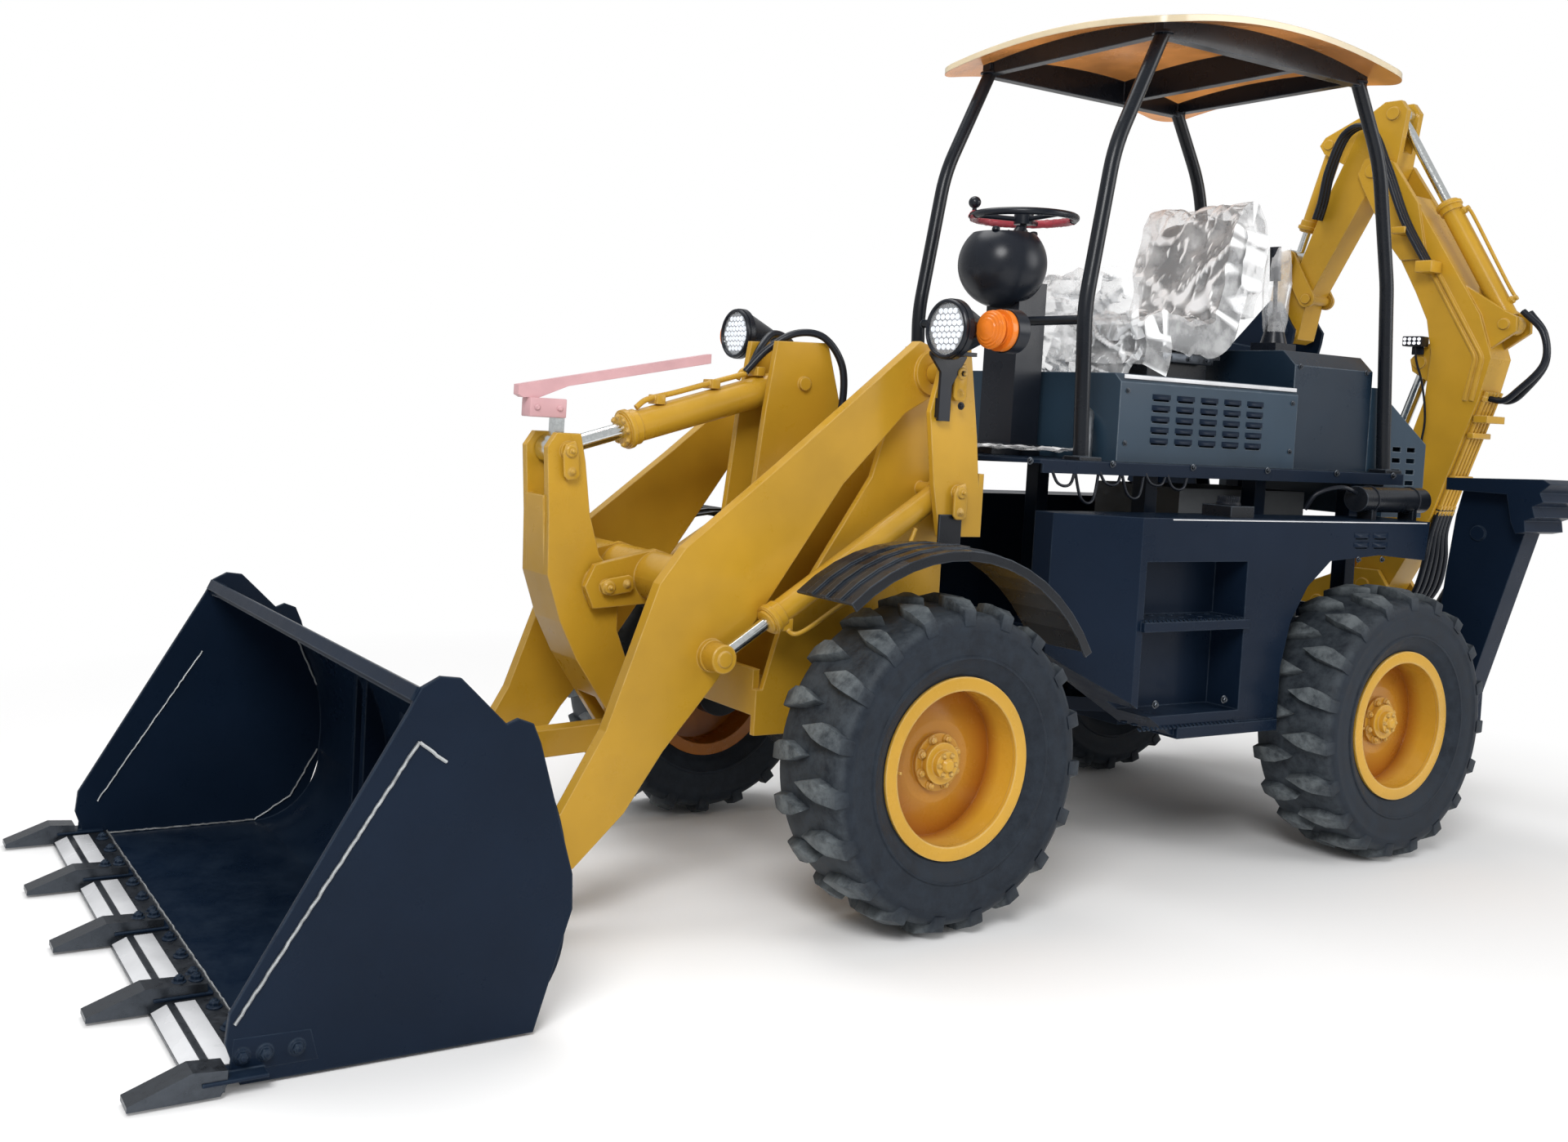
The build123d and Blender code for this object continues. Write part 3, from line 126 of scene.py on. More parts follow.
def make_light():
    area_light("key_light", (5.5, 5.0, 6.0), (0, 0, 1), 3.5, KEY_WATTS)
    area_light("fill_light", (-5.0, 5.5, 3.5), (-0.5, 0, 1), 4.0, FILL_WATTS)
    area_light("top_light", (0.5, -2.0, 8.0), (0, 0, 1), 5.0, TOP_WATTS)
    world = bpy.data.worlds.new("world")
    bpy.context.scene.world = world
    world.use_nodes = True
    nodes = world.node_tree.nodes
    links = world.node_tree.links
    nodes.clear()
    path = nodes.new("ShaderNodeLightPath")
    seen = nodes.new("ShaderNodeMath")
    seen.operation = "MAXIMUM"
    links.new(path.outputs["Is Camera Ray"], seen.inputs[0])
    links.new(path.outputs["Is Transmission Ray"], seen.inputs[1])
    ambient = nodes.new("ShaderNodeBackground")
    ambient.inputs["Color"].default_value = (1, 1, 1, 1)
    ambient.inputs["Strength"].default_value = WORLD_STRENGTH
    backdrop = nodes.new("ShaderNodeBackground")
    backdrop.inputs["Color"].default_value = (1, 1, 1, 1)
    backdrop.inputs["Strength"].default_value = 1.0
    mix = nodes.new("ShaderNodeMixShader")
    output = nodes.new("ShaderNodeOutputWorld")
    links.new(seen.outputs[0], mix.inputs["Fac"])
    links.new(ambient.outputs[0], mix.inputs[1])
    links.new(backdrop.outputs[0], mix.inputs[2])
    links.new(mix.outputs[0], output.inputs[0])


FLOOR_HALF = 60
FLOOR_FADE = (2.6, 4.6)


def make_floor():
    """A plain pale floor that shows white to the camera and keeps the shadow."""
    mesh = bpy.data.meshes.new("floor")
    corners = [(-FLOOR_HALF, -FLOOR_HALF, 0), (FLOOR_HALF, -FLOOR_HALF, 0), (FLOOR_HALF, FLOOR_HALF, 0),
               (-FLOOR_HALF, FLOOR_HALF, 0)]
    mesh.from_pydata(corners, [], [(0, 1, 2, 3)])
    floor = bpy.data.objects.new("floor", mesh)
    bpy.context.scene.collection.objects.link(floor)
    material, shader, nodes, links = bare_material("floor_white")
    shader.inputs["Base Color"].default_value = (0.93, 0.93, 0.93, 1)
    shader.inputs["Roughness"].default_value = 0.9
    shader.inputs["Specular IOR Level"].default_value = 0.0
    reach = nodes.new("ShaderNodeVectorMath")
    reach.operation = "LENGTH"
    links.new(nodes.new("ShaderNodeTexCoord").outputs["Object"], reach.inputs[0])
    path = nodes.new("ShaderNodeLightPath")
    seen = maths(nodes, links, "MAXIMUM", path.outputs["Is Camera Ray"], path.outputs["Is Transmission Ray"])
    share = maths(nodes, links, "MULTIPLY", seen, spread(nodes, links, reach.outputs["Value"], *FLOOR_FADE))
    white = nodes.new("ShaderNodeEmission")
    white.inputs["Color"].default_value = (1, 1, 1, 1)
    mix = nodes.new("ShaderNodeMixShader")
    links.new(share, mix.inputs["Fac"])
    links.new(shader.outputs[0], mix.inputs[1])
    links.new(white.outputs[0], mix.inputs[2])
    output = [node for node in nodes if node.type == "OUTPUT_MATERIAL"][0]
    links.new(mix.outputs[0], output.inputs[0])
    mesh.materials.append(material)


# Materials
def bare_material(name):
    material = bpy.data.materials.new(name)
    material.use_nodes = True
    nodes = material.node_tree.nodes
    links = material.node_tree.links
    nodes.clear()
    output = nodes.new("ShaderNodeOutputMaterial")
    shader = nodes.new("ShaderNodeBsdfPrincipled")
    links.new(shader.outputs[0], output.inputs[0])
    return material, shader, nodes, links


def place_noise(nodes, links, scale, detail=4.0, roughness=0.55, coordinate=None):
    """Noise that stays with its piece."""
    if coordinate is None:
        coordinate = nodes.new("ShaderNodeTexCoord").outputs["Object"]
    texture = nodes.new("ShaderNodeTexNoise")
    texture.inputs["Scale"].default_value = scale
    texture.inputs["Detail"].default_value = detail
    texture.inputs["Roughness"].default_value = roughness
    links.new(coordinate, texture.inputs["Vector"])
    return texture.outputs["Fac"]


def spread(nodes, links, value, low, high, out_low=0.0, out_high=1.0):
    """A value mapped from one range to another, held at its ends."""
    node = nodes.new("ShaderNodeMapRange")
    node.inputs["From Min"].default_value = low
    node.inputs["From Max"].default_value = high
    node.inputs["To Min"].default_value = out_low
    node.inputs["To Max"].default_value = out_high
    links.new(value, node.inputs["Value"])
    return node.outputs[0]


def mixed(nodes, links, share, first, second):
    node = nodes.new("ShaderNodeMix")
    node.data_type = "RGBA"
    links.new(share, node.inputs["Factor"])
    for socket, colour in ((node.inputs["A"], first), (node.inputs["B"], second)):
        if isinstance(colour, tuple):
            socket.default_value = (*colour, 1)
        else:
            links.new(colour, socket)
    return node.outputs["Result"]


def maths(nodes, links, operation, first, second):
    node = nodes.new("ShaderNodeMath")
    node.operation = operation
    for socket, value in ((node.inputs[0], first), (node.inputs[1], second)):
        if isinstance(value, (int, float)):
            socket.default_value = value
        else:
            links.new(value, socket)
    return node.outputs[0]


def edge_share(nodes, links, radius, sharpness):
    """How near a surface point is to an edge, from the shader's own rounding of edges."""
    rounded = nodes.new("ShaderNodeBevel")
    rounded.samples = 4
    rounded.inputs["Radius"].default_value = radius
    geometry = nodes.new("ShaderNodeNewGeometry")
    dot = nodes.new("ShaderNodeVectorMath")
    dot.operation = "DOT_PRODUCT"
    links.new(rounded.outputs[0], dot.inputs[0])
    links.new(geometry.outputs["Normal"], dot.inputs[1])
    return spread(nodes, links, dot.outputs["Value"], 1.0, 1.0 - sharpness), rounded.outputs[0]


def upward_share(nodes, links):
    """How far a face looks up, in the piece's own frame."""
    normal = nodes.new("ShaderNodeTexCoord").outputs["Normal"]
    split = nodes.new("ShaderNodeSeparateXYZ")
    links.new(normal, split.inputs[0])
    return spread(nodes, links, split.outputs["Z"], 0.2, 1.0)


def add_bump(nodes, links, shader, height, strength, distance, normal=None):
    bump = nodes.new("ShaderNodeBump")
    bump.inputs["Strength"].default_value = strength
    bump.inputs["Distance"].default_value = distance
    links.new(height, bump.inputs["Height"])
    if normal is not None:
        links.new(normal, bump.inputs["Normal"])
    links.new(bump.outputs[0], shader.inputs["Normal"])


def paint(name, colour, edge_colour, dust_colour, roughness=0.3, dust=0.35, edge=0.6, coat=0.15, waves=0.05,
          gloss=0.22, underside_tint_and_glow=None, shaded_dish=False):
    """Sprayed paint on steel: slight mottling, orange peel, paler rounded edges (wear and painted highlight) and dust
    on upward faces.
    """
    material, shader, nodes, links = bare_material(name)
    mottle = place_noise(nodes, links, 2.2)
    dark = tuple(c * 0.86 for c in colour)
    light = tuple(min(1, c * 1.08) for c in colour)
    base = mixed(nodes, links, spread(nodes, links, mottle, 0.35, 0.65), dark, light)
    # Rounded edges are painted paler: partly rubbed wear, partly painted highlight along the edges.
    near, rounded = edge_share(nodes, links, 0.006, 0.12)
    patches = place_noise(nodes, links, 14)
    lightened = maths(nodes, links, "MULTIPLY", near, spread(nodes, links, patches, 0.3, 0.6, 0.25 * edge, edge))
    base = mixed(nodes, links, lightened, base, edge_colour)
    dirt = place_noise(nodes, links, 5.5, detail=8, roughness=0.7)
    settled = maths(nodes, links, "MULTIPLY", upward_share(nodes, links), spread(nodes, links, dirt, 0.42, 0.7, 0, dust))
    base = mixed(nodes, links, settled, base, dust_colour)
    if shaded_dish:
        # The deep part of the rim's dish turns dark orange: painted shade in the recess.
        across = nodes.new("ShaderNodeSeparateXYZ")
        links.new(nodes.new("ShaderNodeTexCoord").outputs["Object"], across.inputs[0])
        out_share = spread(nodes, links, maths(nodes, links, "ABSOLUTE", across.outputs["Y"], 0.0), 0.655, 0.71)
        base = mixed(nodes, links, out_share, (0.36, 0.12, 0.012), base)
    # Downward faces turn orange-brown, partly the underside's own paint and partly painted shade; they also glow in
    # patches, painted light coming through the roof.
    if underside_tint_and_glow is not None:
        down = nodes.new("ShaderNodeSeparateXYZ")
        links.new(nodes.new("ShaderNodeTexCoord").outputs["Normal"], down.inputs[0])
        low_face = spread(nodes, links, down.outputs["Z"], -0.3, -0.8)
        base = mixed(nodes, links, low_face, base, underside_tint_and_glow)
        shader.inputs["Emission Color"].default_value = (*underside_tint_and_glow, 1)
        patchy = spread(nodes, links, place_noise(nodes, links, 2.6), 0.35, 0.65, 0.25, 1.1)
        links.new(maths(nodes, links, "MULTIPLY", low_face, patchy), shader.inputs["Emission Strength"])
    links.new(base, shader.inputs["Base Color"])
    links.new(spread(nodes, links, dirt, 0.3, 0.75, roughness * 0.75, roughness * 1.5), shader.inputs["Roughness"])
    shader.inputs["Specular IOR Level"].default_value = gloss
    shader.inputs["Coat Weight"].default_value = coat
    shader.inputs["Coat Roughness"].default_value = 0.15
    peel = place_noise(nodes, links, 260, detail=2)
    wide = place_noise(nodes, links, 9, detail=2)
    height = maths(nodes, links, "ADD", maths(nodes, links, "MULTIPLY", wide, 3.0), peel)
    add_bump(nodes, links, shader, height, waves, 0.004, rounded)
    return material


def chrome(name):
    material, shader, nodes, links = bare_material(name)
    shader.inputs["Metallic"].default_value = 1.0
    scratches = place_noise(nodes, links, 90, detail=6)
    tone = mixed(nodes, links, spread(nodes, links, scratches, 0.4, 0.6), (0.72, 0.75, 0.75), (0.80, 0.83, 0.83))
    links.new(tone, shader.inputs["Base Color"])
    links.new(spread(nodes, links, scratches, 0.3, 0.7, 0.12, 0.24), shader.inputs["Roughness"])
    add_bump(nodes, links, shader, scratches, 0.01, 0.0005)
    return material


def steel(name, colour, roughness):
    material, shader, nodes, links = bare_material(name)
    shader.inputs["Metallic"].default_value = 0.85
    grain = place_noise(nodes, links, 45, detail=8, roughness=0.7)
    dark = tuple(c * 0.75 for c in colour)
    links.new(mixed(nodes, links, spread(nodes, links, grain, 0.35, 0.62), dark, colour), shader.inputs["Base Color"])
    links.new(spread(nodes, links, grain, 0.3, 0.7, roughness * 0.7, roughness * 1.4), shader.inputs["Roughness"])
    add_bump(nodes, links, shader, grain, 0.15, 0.002)
    return material


def plastic(name, colour, roughness, grain_scale=420, grain=0.08):
    material, shader, nodes, links = bare_material(name)
    mottle = place_noise(nodes, links, 6)
    dark = tuple(c * 0.8 for c in colour)
    links.new(mixed(nodes, links, spread(nodes, links, mottle, 0.3, 0.7), dark, colour), shader.inputs["Base Color"])
    links.new(spread(nodes, links, mottle, 0.3, 0.7, roughness * 0.8, roughness * 1.25), shader.inputs["Roughness"])
    shader.inputs["Specular IOR Level"].default_value = 0.3
    near, rounded = edge_share(nodes, links, 0.003, 0.1)
    add_bump(nodes, links, shader, place_noise(nodes, links, grain_scale, detail=2), grain, 0.001, rounded)
    return material


def rubber(name):
    """Tyre rubber: blue-black walls and pale dusty lug tops. The mesh says where dust lies."""
    material, shader, nodes, links = bare_material(name)
    lies = nodes.new("ShaderNodeAttribute")
    lies.attribute_name = "dust"
    fine = place_noise(nodes, links, 22, detail=8, roughness=0.7)
    wall = mixed(nodes, links, spread(nodes, links, fine, 0.35, 0.7), (0.008, 0.012, 0.019), (0.022, 0.030, 0.042))
    share = maths(nodes, links, "MULTIPLY", lies.outputs["Fac"], spread(nodes, links, fine, 0.34, 0.6, 0.25, 1.0))
    links.new(mixed(nodes, links, share, wall, (0.15, 0.17, 0.18)), shader.inputs["Base Color"])
    shader.inputs["Specular IOR Level"].default_value = 0.2
    links.new(spread(nodes, links, fine, 0.3, 0.7, 0.45, 0.75), shader.inputs["Roughness"])
    rough = maths(nodes, links, "ADD", place_noise(nodes, links, 160, detail=4), fine)
    add_bump(nodes, links, shader, rough, 0.12, 0.003)
    return material


def glass_lens(name):
    material, shader, nodes, links = bare_material(name)
    shader.inputs["Base Color"].default_value = (0.93, 0.95, 0.97, 1)
    shader.inputs["Transmission Weight"].default_value = 0.9
    shader.inputs["IOR"].default_value = 1.45
    ripple = place_noise(nodes, links, 60, detail=1)
    links.new(spread(nodes, links, ripple, 0.3, 0.7, 0.02, 0.08), shader.inputs["Roughness"])
    add_bump(nodes, links, shader, ripple, 0.05, 0.002)
    return material


# The edge colours pale the rounded edges: partly wear, partly painted highlight.
GOLD = (0.52, 0.29, 0.023)
GOLD_EDGE = (0.84, 0.60, 0.25)
GOLD_DUST = (0.74, 0.50, 0.18)
NAVY = (0.006, 0.013, 0.028)
NAVY_EDGE = (0.06, 0.085, 0.12)
NAVY_DUST = (0.035, 0.055, 0.085)
BLACK = (0.007, 0.009, 0.013)
SLATE = (0.022, 0.045, 0.072)
SLATE_EDGE = (0.30, 0.36, 0.42)
CREAM = (0.72, 0.60, 0.40)


def led_metal():
    material, shader, nodes, links = bare_material("led_reflector")
    share = place_noise(nodes, links, 220.0, 2.0, 0.5)
    tone = spread(nodes, links, share, 0.35, 0.65, 0.0, 1.0)
    links.new(mixed(nodes, links, tone, (0.80, 0.82, 0.85), (0.95, 0.96, 0.97)), shader.inputs["Base Color"])
    shader.inputs["Metallic"].default_value = 0.3
    shader.inputs["Roughness"].default_value = 0.25
    # The faint emission is painted shine: the LEDs and their reflectors glow as if catching light.
    shader.inputs["Emission Color"].default_value = (0.9, 0.93, 1.0, 1)
    shader.inputs["Emission Strength"].default_value = 0.55
    return material


def clear_film():
    """Thin clear film: mostly seen through, with creases painted pale as sheen, and sharp glints."""
    material, shader, nodes, links = bare_material("clear_film")
    share = place_noise(nodes, links, 9.0, 5.0, 0.6)
    cloud = spread(nodes, links, share, 0.42, 0.64, 0.22, 0.48)
    # Creases are made whiter and more opaque: painted sheen where the folds would catch the light.
    fold = nodes.new("ShaderNodeAttribute")
    fold.attribute_name = "crease"
    cloud = maths(nodes, links, "MAXIMUM", cloud, spread(nodes, links, fold.outputs["Fac"], 0.02, 0.45, 0.1, 1.0))
    links.new(mixed(nodes, links, share, (0.88, 0.90, 0.92), (0.99, 0.99, 0.99)), shader.inputs["Base Color"])
    links.new(cloud, shader.inputs["Alpha"])
    shader.inputs["Roughness"].default_value = 0.14
    add_bump(nodes, links, shader, place_noise(nodes, links, 30.0, 5.0, 0.6), 0.5, 0.006)
    return material


def make_materials():
    return {
        "yellow_paint": paint("yellow_paint", GOLD, GOLD_EDGE, GOLD_DUST),
        "navy_paint": paint("navy_paint", NAVY, NAVY_EDGE, NAVY_DUST, roughness=0.3, dust=0.3, coat=0.05, gloss=0.08),
        "black_paint": paint("black_paint", BLACK, (0.14, 0.17, 0.21), NAVY_DUST, roughness=0.26, edge=0.6, coat=0.15, gloss=0.2),
        "slate_paint": paint("slate_paint", SLATE, SLATE_EDGE, (0.16, 0.22, 0.28), roughness=0.35),
        # The roof's underside glows faintly in patches: painted light coming through the roof.
        "cream_paint": paint("cream_paint", CREAM, (0.85, 0.75, 0.55), (0.75, 0.62, 0.42), roughness=0.22,
                             coat=0.5, gloss=0.4, underside_tint_and_glow=(0.42, 0.17, 0.045)),
        # The rim's dish is darkened inside: painted shade.
        "rim_paint": paint("rim_paint", shaded_dish=True, colour=(0.60, 0.33, 0.034), edge_colour=(0.88, 0.68, 0.32),
                           dust_colour=(0.75, 0.52, 0.2), roughness=0.25),
        "rod_chrome": chrome("rod_chrome"),
        "edge_steel": steel("edge_steel", (0.075, 0.085, 0.10), 0.32),
        "engine_iron": steel("engine_iron", (0.16, 0.17, 0.18), 0.6),
        "black_plastic": plastic("black_plastic", (0.010, 0.013, 0.02), 0.28),
        "amber_plastic": plastic("amber_plastic", (0.85, 0.22, 0.02), 0.18),
        "seat_vinyl": plastic("seat_vinyl", (0.10, 0.105, 0.11), 0.45),
        "wrap_film": plastic("wrap_film", (0.72, 0.42, 0.44), 0.35),
        "tyre_rubber": rubber("tyre_rubber"),
        "lamp_glass": glass_lens("lamp_glass"),
    }


def dress_nodes(materials):
    """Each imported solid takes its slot's finish."""
    for part in frame["record"]["subparts"]:
        mesh = NODES[part["node"]].data
        mesh.materials.clear()
        mesh.materials.append(materials[part["material_slot"]])


# Places and mesh helpers
ROW_SHIFT = 0.505
SWING_X = -3.2
ARM_ANGLE = math.radians(-85)
SIDES = (("left", 1), ("right", -1))


def at(x, y, z):
    """A place counted from the front axle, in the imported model's frame."""
    return Vector((x + ROW_SHIFT, y, z))


def arm_at(s, t, z):
    """A place in the digging arm's plane: out from the swing post, across the arm, and up."""
    along = Vector((math.cos(ARM_ANGLE), math.sin(ARM_ANGLE), 0))
    across = Vector((-math.sin(ARM_ANGLE), math.cos(ARM_ANGLE), 0))
    return Vector((SWING_X + ROW_SHIFT, 0, z)) + along * s + across * t


ARM_SIDE = Vector((-math.sin(ARM_ANGLE), math.cos(ARM_ANGLE), 0))
ARM_FRAME = Matrix.Translation(arm_at(0, 0, 0)) @ Matrix.Rotation(ARM_ANGLE, 4, "Z")


def turned(bm, place, direction, profile, sides=24):
    """A turned form about a direction, from pairs of radius and height."""
    turn = Vector(direction).to_track_quat("Z", "Y").to_matrix()
    rings = []
    for radius, height in profile:
        ring = []
        for index in range(sides):
            angle = 2 * math.pi * index / sides
            local = Vector((radius * math.cos(angle), radius * math.sin(angle), height))
            ring.append(bm.verts.new(turn @ local + Vector(place)))
        rings.append(ring)
    for low, high in zip(rings, rings[1:]):
        for index in range(sides):
            following = (index + 1) % sides
            bm.faces.new((low[index], low[following], high[following], high[index]))
    bm.faces.new(rings[0][::-1])
    bm.faces.new(rings[-1])


def bolt(bm, place, direction, size=0.011):
    """A washer, a chamfered hexagon head and the stub of its thread."""
    way = Vector(direction).normalized()
    place = Vector(place)
    turned(bm, place, way, [(size * 1.4, 0), (size * 1.4, size * 0.22), (size * 1.25, size * 0.3)], 16)
    turned(bm, place + way * size * 0.28, way, [(size, 0), (size, size * 0.6), (size * 0.84, size * 0.78)], 6)
    turned(bm, place + way * size, way, [(size * 0.5, 0), (size * 0.5, size * 0.3), (size * 0.38, size * 0.4)], 10)


def smooth_path(points, steps):
    """Points on a smooth line through the given ones."""
    points = [Vector(point) for point in points]
    ends = [points[0] * 2 - points[1]] + points + [points[-1] * 2 - points[-2]]
    line = []
    for a, b, c, d in zip(ends, ends[1:], ends[2:], ends[3:]):
        for step in range(steps):
            u = step / steps
            line.append(0.5 * (2 * b + (c - a) * u + (2 * a - 5 * b + 4 * c - d) * u * u + (3 * b - a - 3 * c + d) * u ** 3))
    line.append(points[-1])
    return line


def pipe(bm, points, radius, sides=12, steps=8):
    """A round pipe or hose along a smooth line, with closed ends."""
    line = smooth_path(points, steps)
    side = None
    rings = []
    for index, place in enumerate(line):
        ahead = (line[min(index + 1, len(line) - 1)] - line[max(index - 1, 0)]).normalized()
        if side is None:
            side = ahead.orthogonal()
        side = (side - ahead * side.dot(ahead)).normalized()
        up = ahead.cross(side)
        ring = []
        for corner in range(sides):
            angle = 2 * math.pi * corner / sides
            ring.append(bm.verts.new(place + (side * math.cos(angle) + up * math.sin(angle)) * radius))
        rings.append(ring)
    for low, high in zip(rings, rings[1:]):
        for corner in range(sides):
            following = (corner + 1) % sides
            bm.faces.new((low[corner], low[following], high[following], high[corner]))
    bm.faces.new(rings[0][::-1])
    bm.faces.new(rings[-1])


def bevelled(bm, vertices, width):
    edges = {edge for vertex in vertices for edge in vertex.link_edges}
    bmesh.ops.bevel(bm, geom=list(edges), offset=width, segments=2, profile=0.5, affect="EDGES")


def box(bm, low, high, bevel=0.003):
    low = Vector(low)
    high = Vector(high)
    made = bmesh.ops.create_cube(bm, size=1)["verts"]
    for vertex in made:
        share = vertex.co + Vector((0.5, 0.5, 0.5))
        vertex.co = Vector([a + (b - a) * k for a, b, k in zip(low, high, share)])
    bevelled(bm, made, bevel)


def plate(bm, outline, thickness, bevel=0.003):
    """A flat piece from its corners in space, grown along its own normal."""
    corners = [Vector(corner) for corner in outline]
    normal = Vector((0, 0, 0))
    for a, b in zip(corners, corners[1:] + corners[:1]):
        normal += a.cross(b)
    normal.normalize()
    low = [bm.verts.new(corner) for corner in corners]
    high = [bm.verts.new(corner + normal * thickness) for corner in corners]
    bm.faces.new(low[::-1])
    bm.faces.new(high)
    for index in range(len(low)):
        following = (index + 1) % len(low)
        bm.faces.new((low[index], low[following], high[following], high[index]))
    if bevel:
        bevelled(bm, low + high, bevel)


def piece(name, bm, body, slot, material=None, sharp=35):
    """Turns the gathered mesh into a named piece that rides on a body. One to be blended has no body here."""
    bmesh.ops.recalc_face_normals(bm, faces=bm.faces)
    mesh = bpy.data.meshes.new(name)
    bm.to_mesh(mesh)
    bm.free()
    mesh.polygons.foreach_set("use_smooth", [True] * len(mesh.polygons))
    mesh.set_sharp_from_angle(angle=math.radians(sharp))
    mesh.materials.append(material or MATERIALS[slot])
    made = bpy.data.objects.new(name, mesh)
    bpy.context.scene.collection.objects.link(made)
    if body:
        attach(made, body)
    return made


# Tyres and rims
TYRE_RADIUS = 0.49
TYRE_HALF = 0.15
LUG_COUNT = 19
WHEELS = (("front", 0.0), ("rear", -2.12))
TRACK_HALF = 0.65
CARCASS = (
    (0.242, 0.100), (0.250, 0.112), (0.272, 0.113), (0.284, 0.123), (0.300, 0.134), (0.320, 0.141), (0.324, 0.1455),
    (0.330, 0.1455), (0.334, 0.142), (0.352, 0.1455), (0.378, 0.1475), (0.400, 0.1470), (0.404, 0.1490),
    (0.410, 0.1485), (0.428, 0.1460), (0.444, 0.138), (0.453, 0.122), (0.456, 0.08), (0.457, 0.0),
)
LUG_OUTLINE = ((-0.040, 0.1495), (0.010, 0.1495), (0.030, 0.100), (0.036, 0.066), (0.008, -0.016), (-0.020, 0.040),
               (-0.030, 0.085))
LUG_TAPER = 0.003


def lug_top(y):
    """The lug's outer radius, lower towards the shoulder."""
    return TYRE_RADIUS - 0.0005 - 0.028 * max(0, (abs(y) - 0.118) / 0.032) ** 1.5


def lug_foot(y):
    return 0.450 - 0.030 * max(0, (abs(y) - 0.120) / 0.030)


def tyre_mesh():
    """A tyre about the Y axis: a smooth carcass with rings on its wall, and bent lugs."""
    bm = bmesh.new()
    profile = list(CARCASS) + [(radius, -y) for radius, y in CARCASS[-2::-1]]
    steps = 96
    rings = []
    for index in range(steps):
        angle = 2 * math.pi * index / steps
        rings.append([bm.verts.new((r * math.cos(angle), y, r * math.sin(angle))) for r, y in profile])
    for low, high in zip(rings, rings[1:] + rings[:1]):
        for a in range(len(profile)):
            b = (a + 1) % len(profile)
            bm.faces.new((low[a], low[b], high[b], high[a]))
    for side, start in ((1, 0.25), (-1, 0.75)):
        for index in range(LUG_COUNT):
            centre = -2 * math.pi * (index + start) / LUG_COUNT
            middle_t = sum(t for t, _ in LUG_OUTLINE) / len(LUG_OUTLINE)
            middle_y = sum(y for _, y in LUG_OUTLINE) / len(LUG_OUTLINE)
            top = []
            foot = []
            for t, y in LUG_OUTLINE:
                away = Vector((t - middle_t, y - middle_y))
                inset = away - away.normalized() * LUG_TAPER
                for store, spot, radius in (
                    (top, inset, lug_top(middle_y + inset.y)), (foot, away, lug_foot(y)),
                ):
                    # the tread runs the other way round as Z turns to X, as in the solids
                    turn = centre + (middle_t + spot.x) / TYRE_RADIUS
                    across = side * min(middle_y + spot.y, TYRE_HALF - 0.0005)
                    store.append(bm.verts.new((radius * math.cos(turn), across, radius * math.sin(turn))))
            made = top + foot
            bm.faces.new(top)
            bm.faces.new(foot[::-1])
            for a in range(len(top)):
                b = (a + 1) % len(top)
                bm.faces.new((foot[a], foot[b], top[b], top[a]))
            edges = {edge for vertex in top for edge in vertex.link_edges}
            bmesh.ops.bevel(bm, geom=list(edges), offset=0.004, segments=2, profile=0.5, affect="EDGES")
    bmesh.ops.triangulate(bm, faces=[face for face in bm.faces if len(face.verts) > 4])
    bmesh.ops.recalc_face_normals(bm, faces=bm.faces)
    mesh = bpy.data.meshes.new("tyre")
    bm.to_mesh(mesh)
    bm.free()
    mesh.polygons.foreach_set("use_smooth", [True] * len(mesh.polygons))
    mesh.set_sharp_from_angle(angle=math.radians(38))
    dust = mesh.attributes.new("dust", "FLOAT", "POINT")
    for vertex in mesh.vertices:
        radius = math.hypot(vertex.co.x, vertex.co.z)
        lightened = min(1.0, max(0.0, (radius - 0.462) / 0.012))
        dust.data[vertex.index].value = max(lightened, 0.22 if radius > 0.44 else 0.0)
    return mesh


def wheel_matrix(x, side):
    return Matrix.Translation(at(x, side * TRACK_HALF, TYRE_RADIUS)) @ Matrix.Rotation(0 if side > 0 else math.pi, 4, "Z")


def make_wheels():
    base = tyre_mesh()
    for end, x in WHEELS:
        for name, side in SIDES:
            body = f"wheel_{end}_{name}"
            mesh = base.copy()
            mesh.transform(wheel_matrix(x, side))
            mesh.materials.append(MATERIALS["tyre_rubber"])
            tyre = bpy.data.objects.new(f"tyre_tread_{end}_{name}", mesh)
            bpy.context.scene.collection.objects.link(tyre)
            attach(tyre, body)
            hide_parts(f"tyre_{end}_{name}")
            bm = bmesh.new()
            out = Vector((0, 1, 0))
            for index in range(8):
                angle = 2 * math.pi * (index + 0.5) / 8
                bolt(bm, (0.072 * math.cos(angle), 0.037, 0.072 * math.sin(angle)), out, 0.011)
            for index in range(6):
                angle = 2 * math.pi * index / 6
                bolt(bm, (0.031 * math.cos(angle), 0.077, 0.031 * math.sin(angle)), out, 0.006)
            turned(bm, (0, 0.076, 0), out, [(0.022, 0), (0.022, 0.004), (0.016, 0.012), (0.006, 0.015)], 20)
            lip = [(0.226, 0.1105), (0.262, 0.1105), (0.2665, 0.116), (0.2665, 0.1215), (0.262, 0.1225), (0.229, 0.1225)]
            turned_ring(bm, lip, 72)
            pipe(bm, [(0.226, 0.06, 0), (0.214, 0.085, 0), (0.205, 0.112, 0)], 0.0045, 8, 4)
            bm.transform(wheel_matrix(x, side))
            piece(f"hub_bolts_{end}_{name}", bm, body, "rim_paint")


def turned_ring(bm, profile, sides):
    """A closed ring about Y from an outline in radius and Y."""
    rings = []
    for index in range(sides):
        angle = 2 * math.pi * index / sides
        rings.append([bm.verts.new((r * math.cos(angle), y, r * math.sin(angle))) for r, y in profile])
    for low, high in zip(rings, rings[1:] + rings[:1]):
        for a in range(len(profile)):
            b = (a + 1) % len(profile)
            bm.faces.new((low[a], low[b], high[b], high[a]))


# Loader bucket: strips between the teeth, bolts and weld beads
TOOTH_STEP = 0.457
TOOTH_HALF = 0.031
EDGE_TOP = 0.033


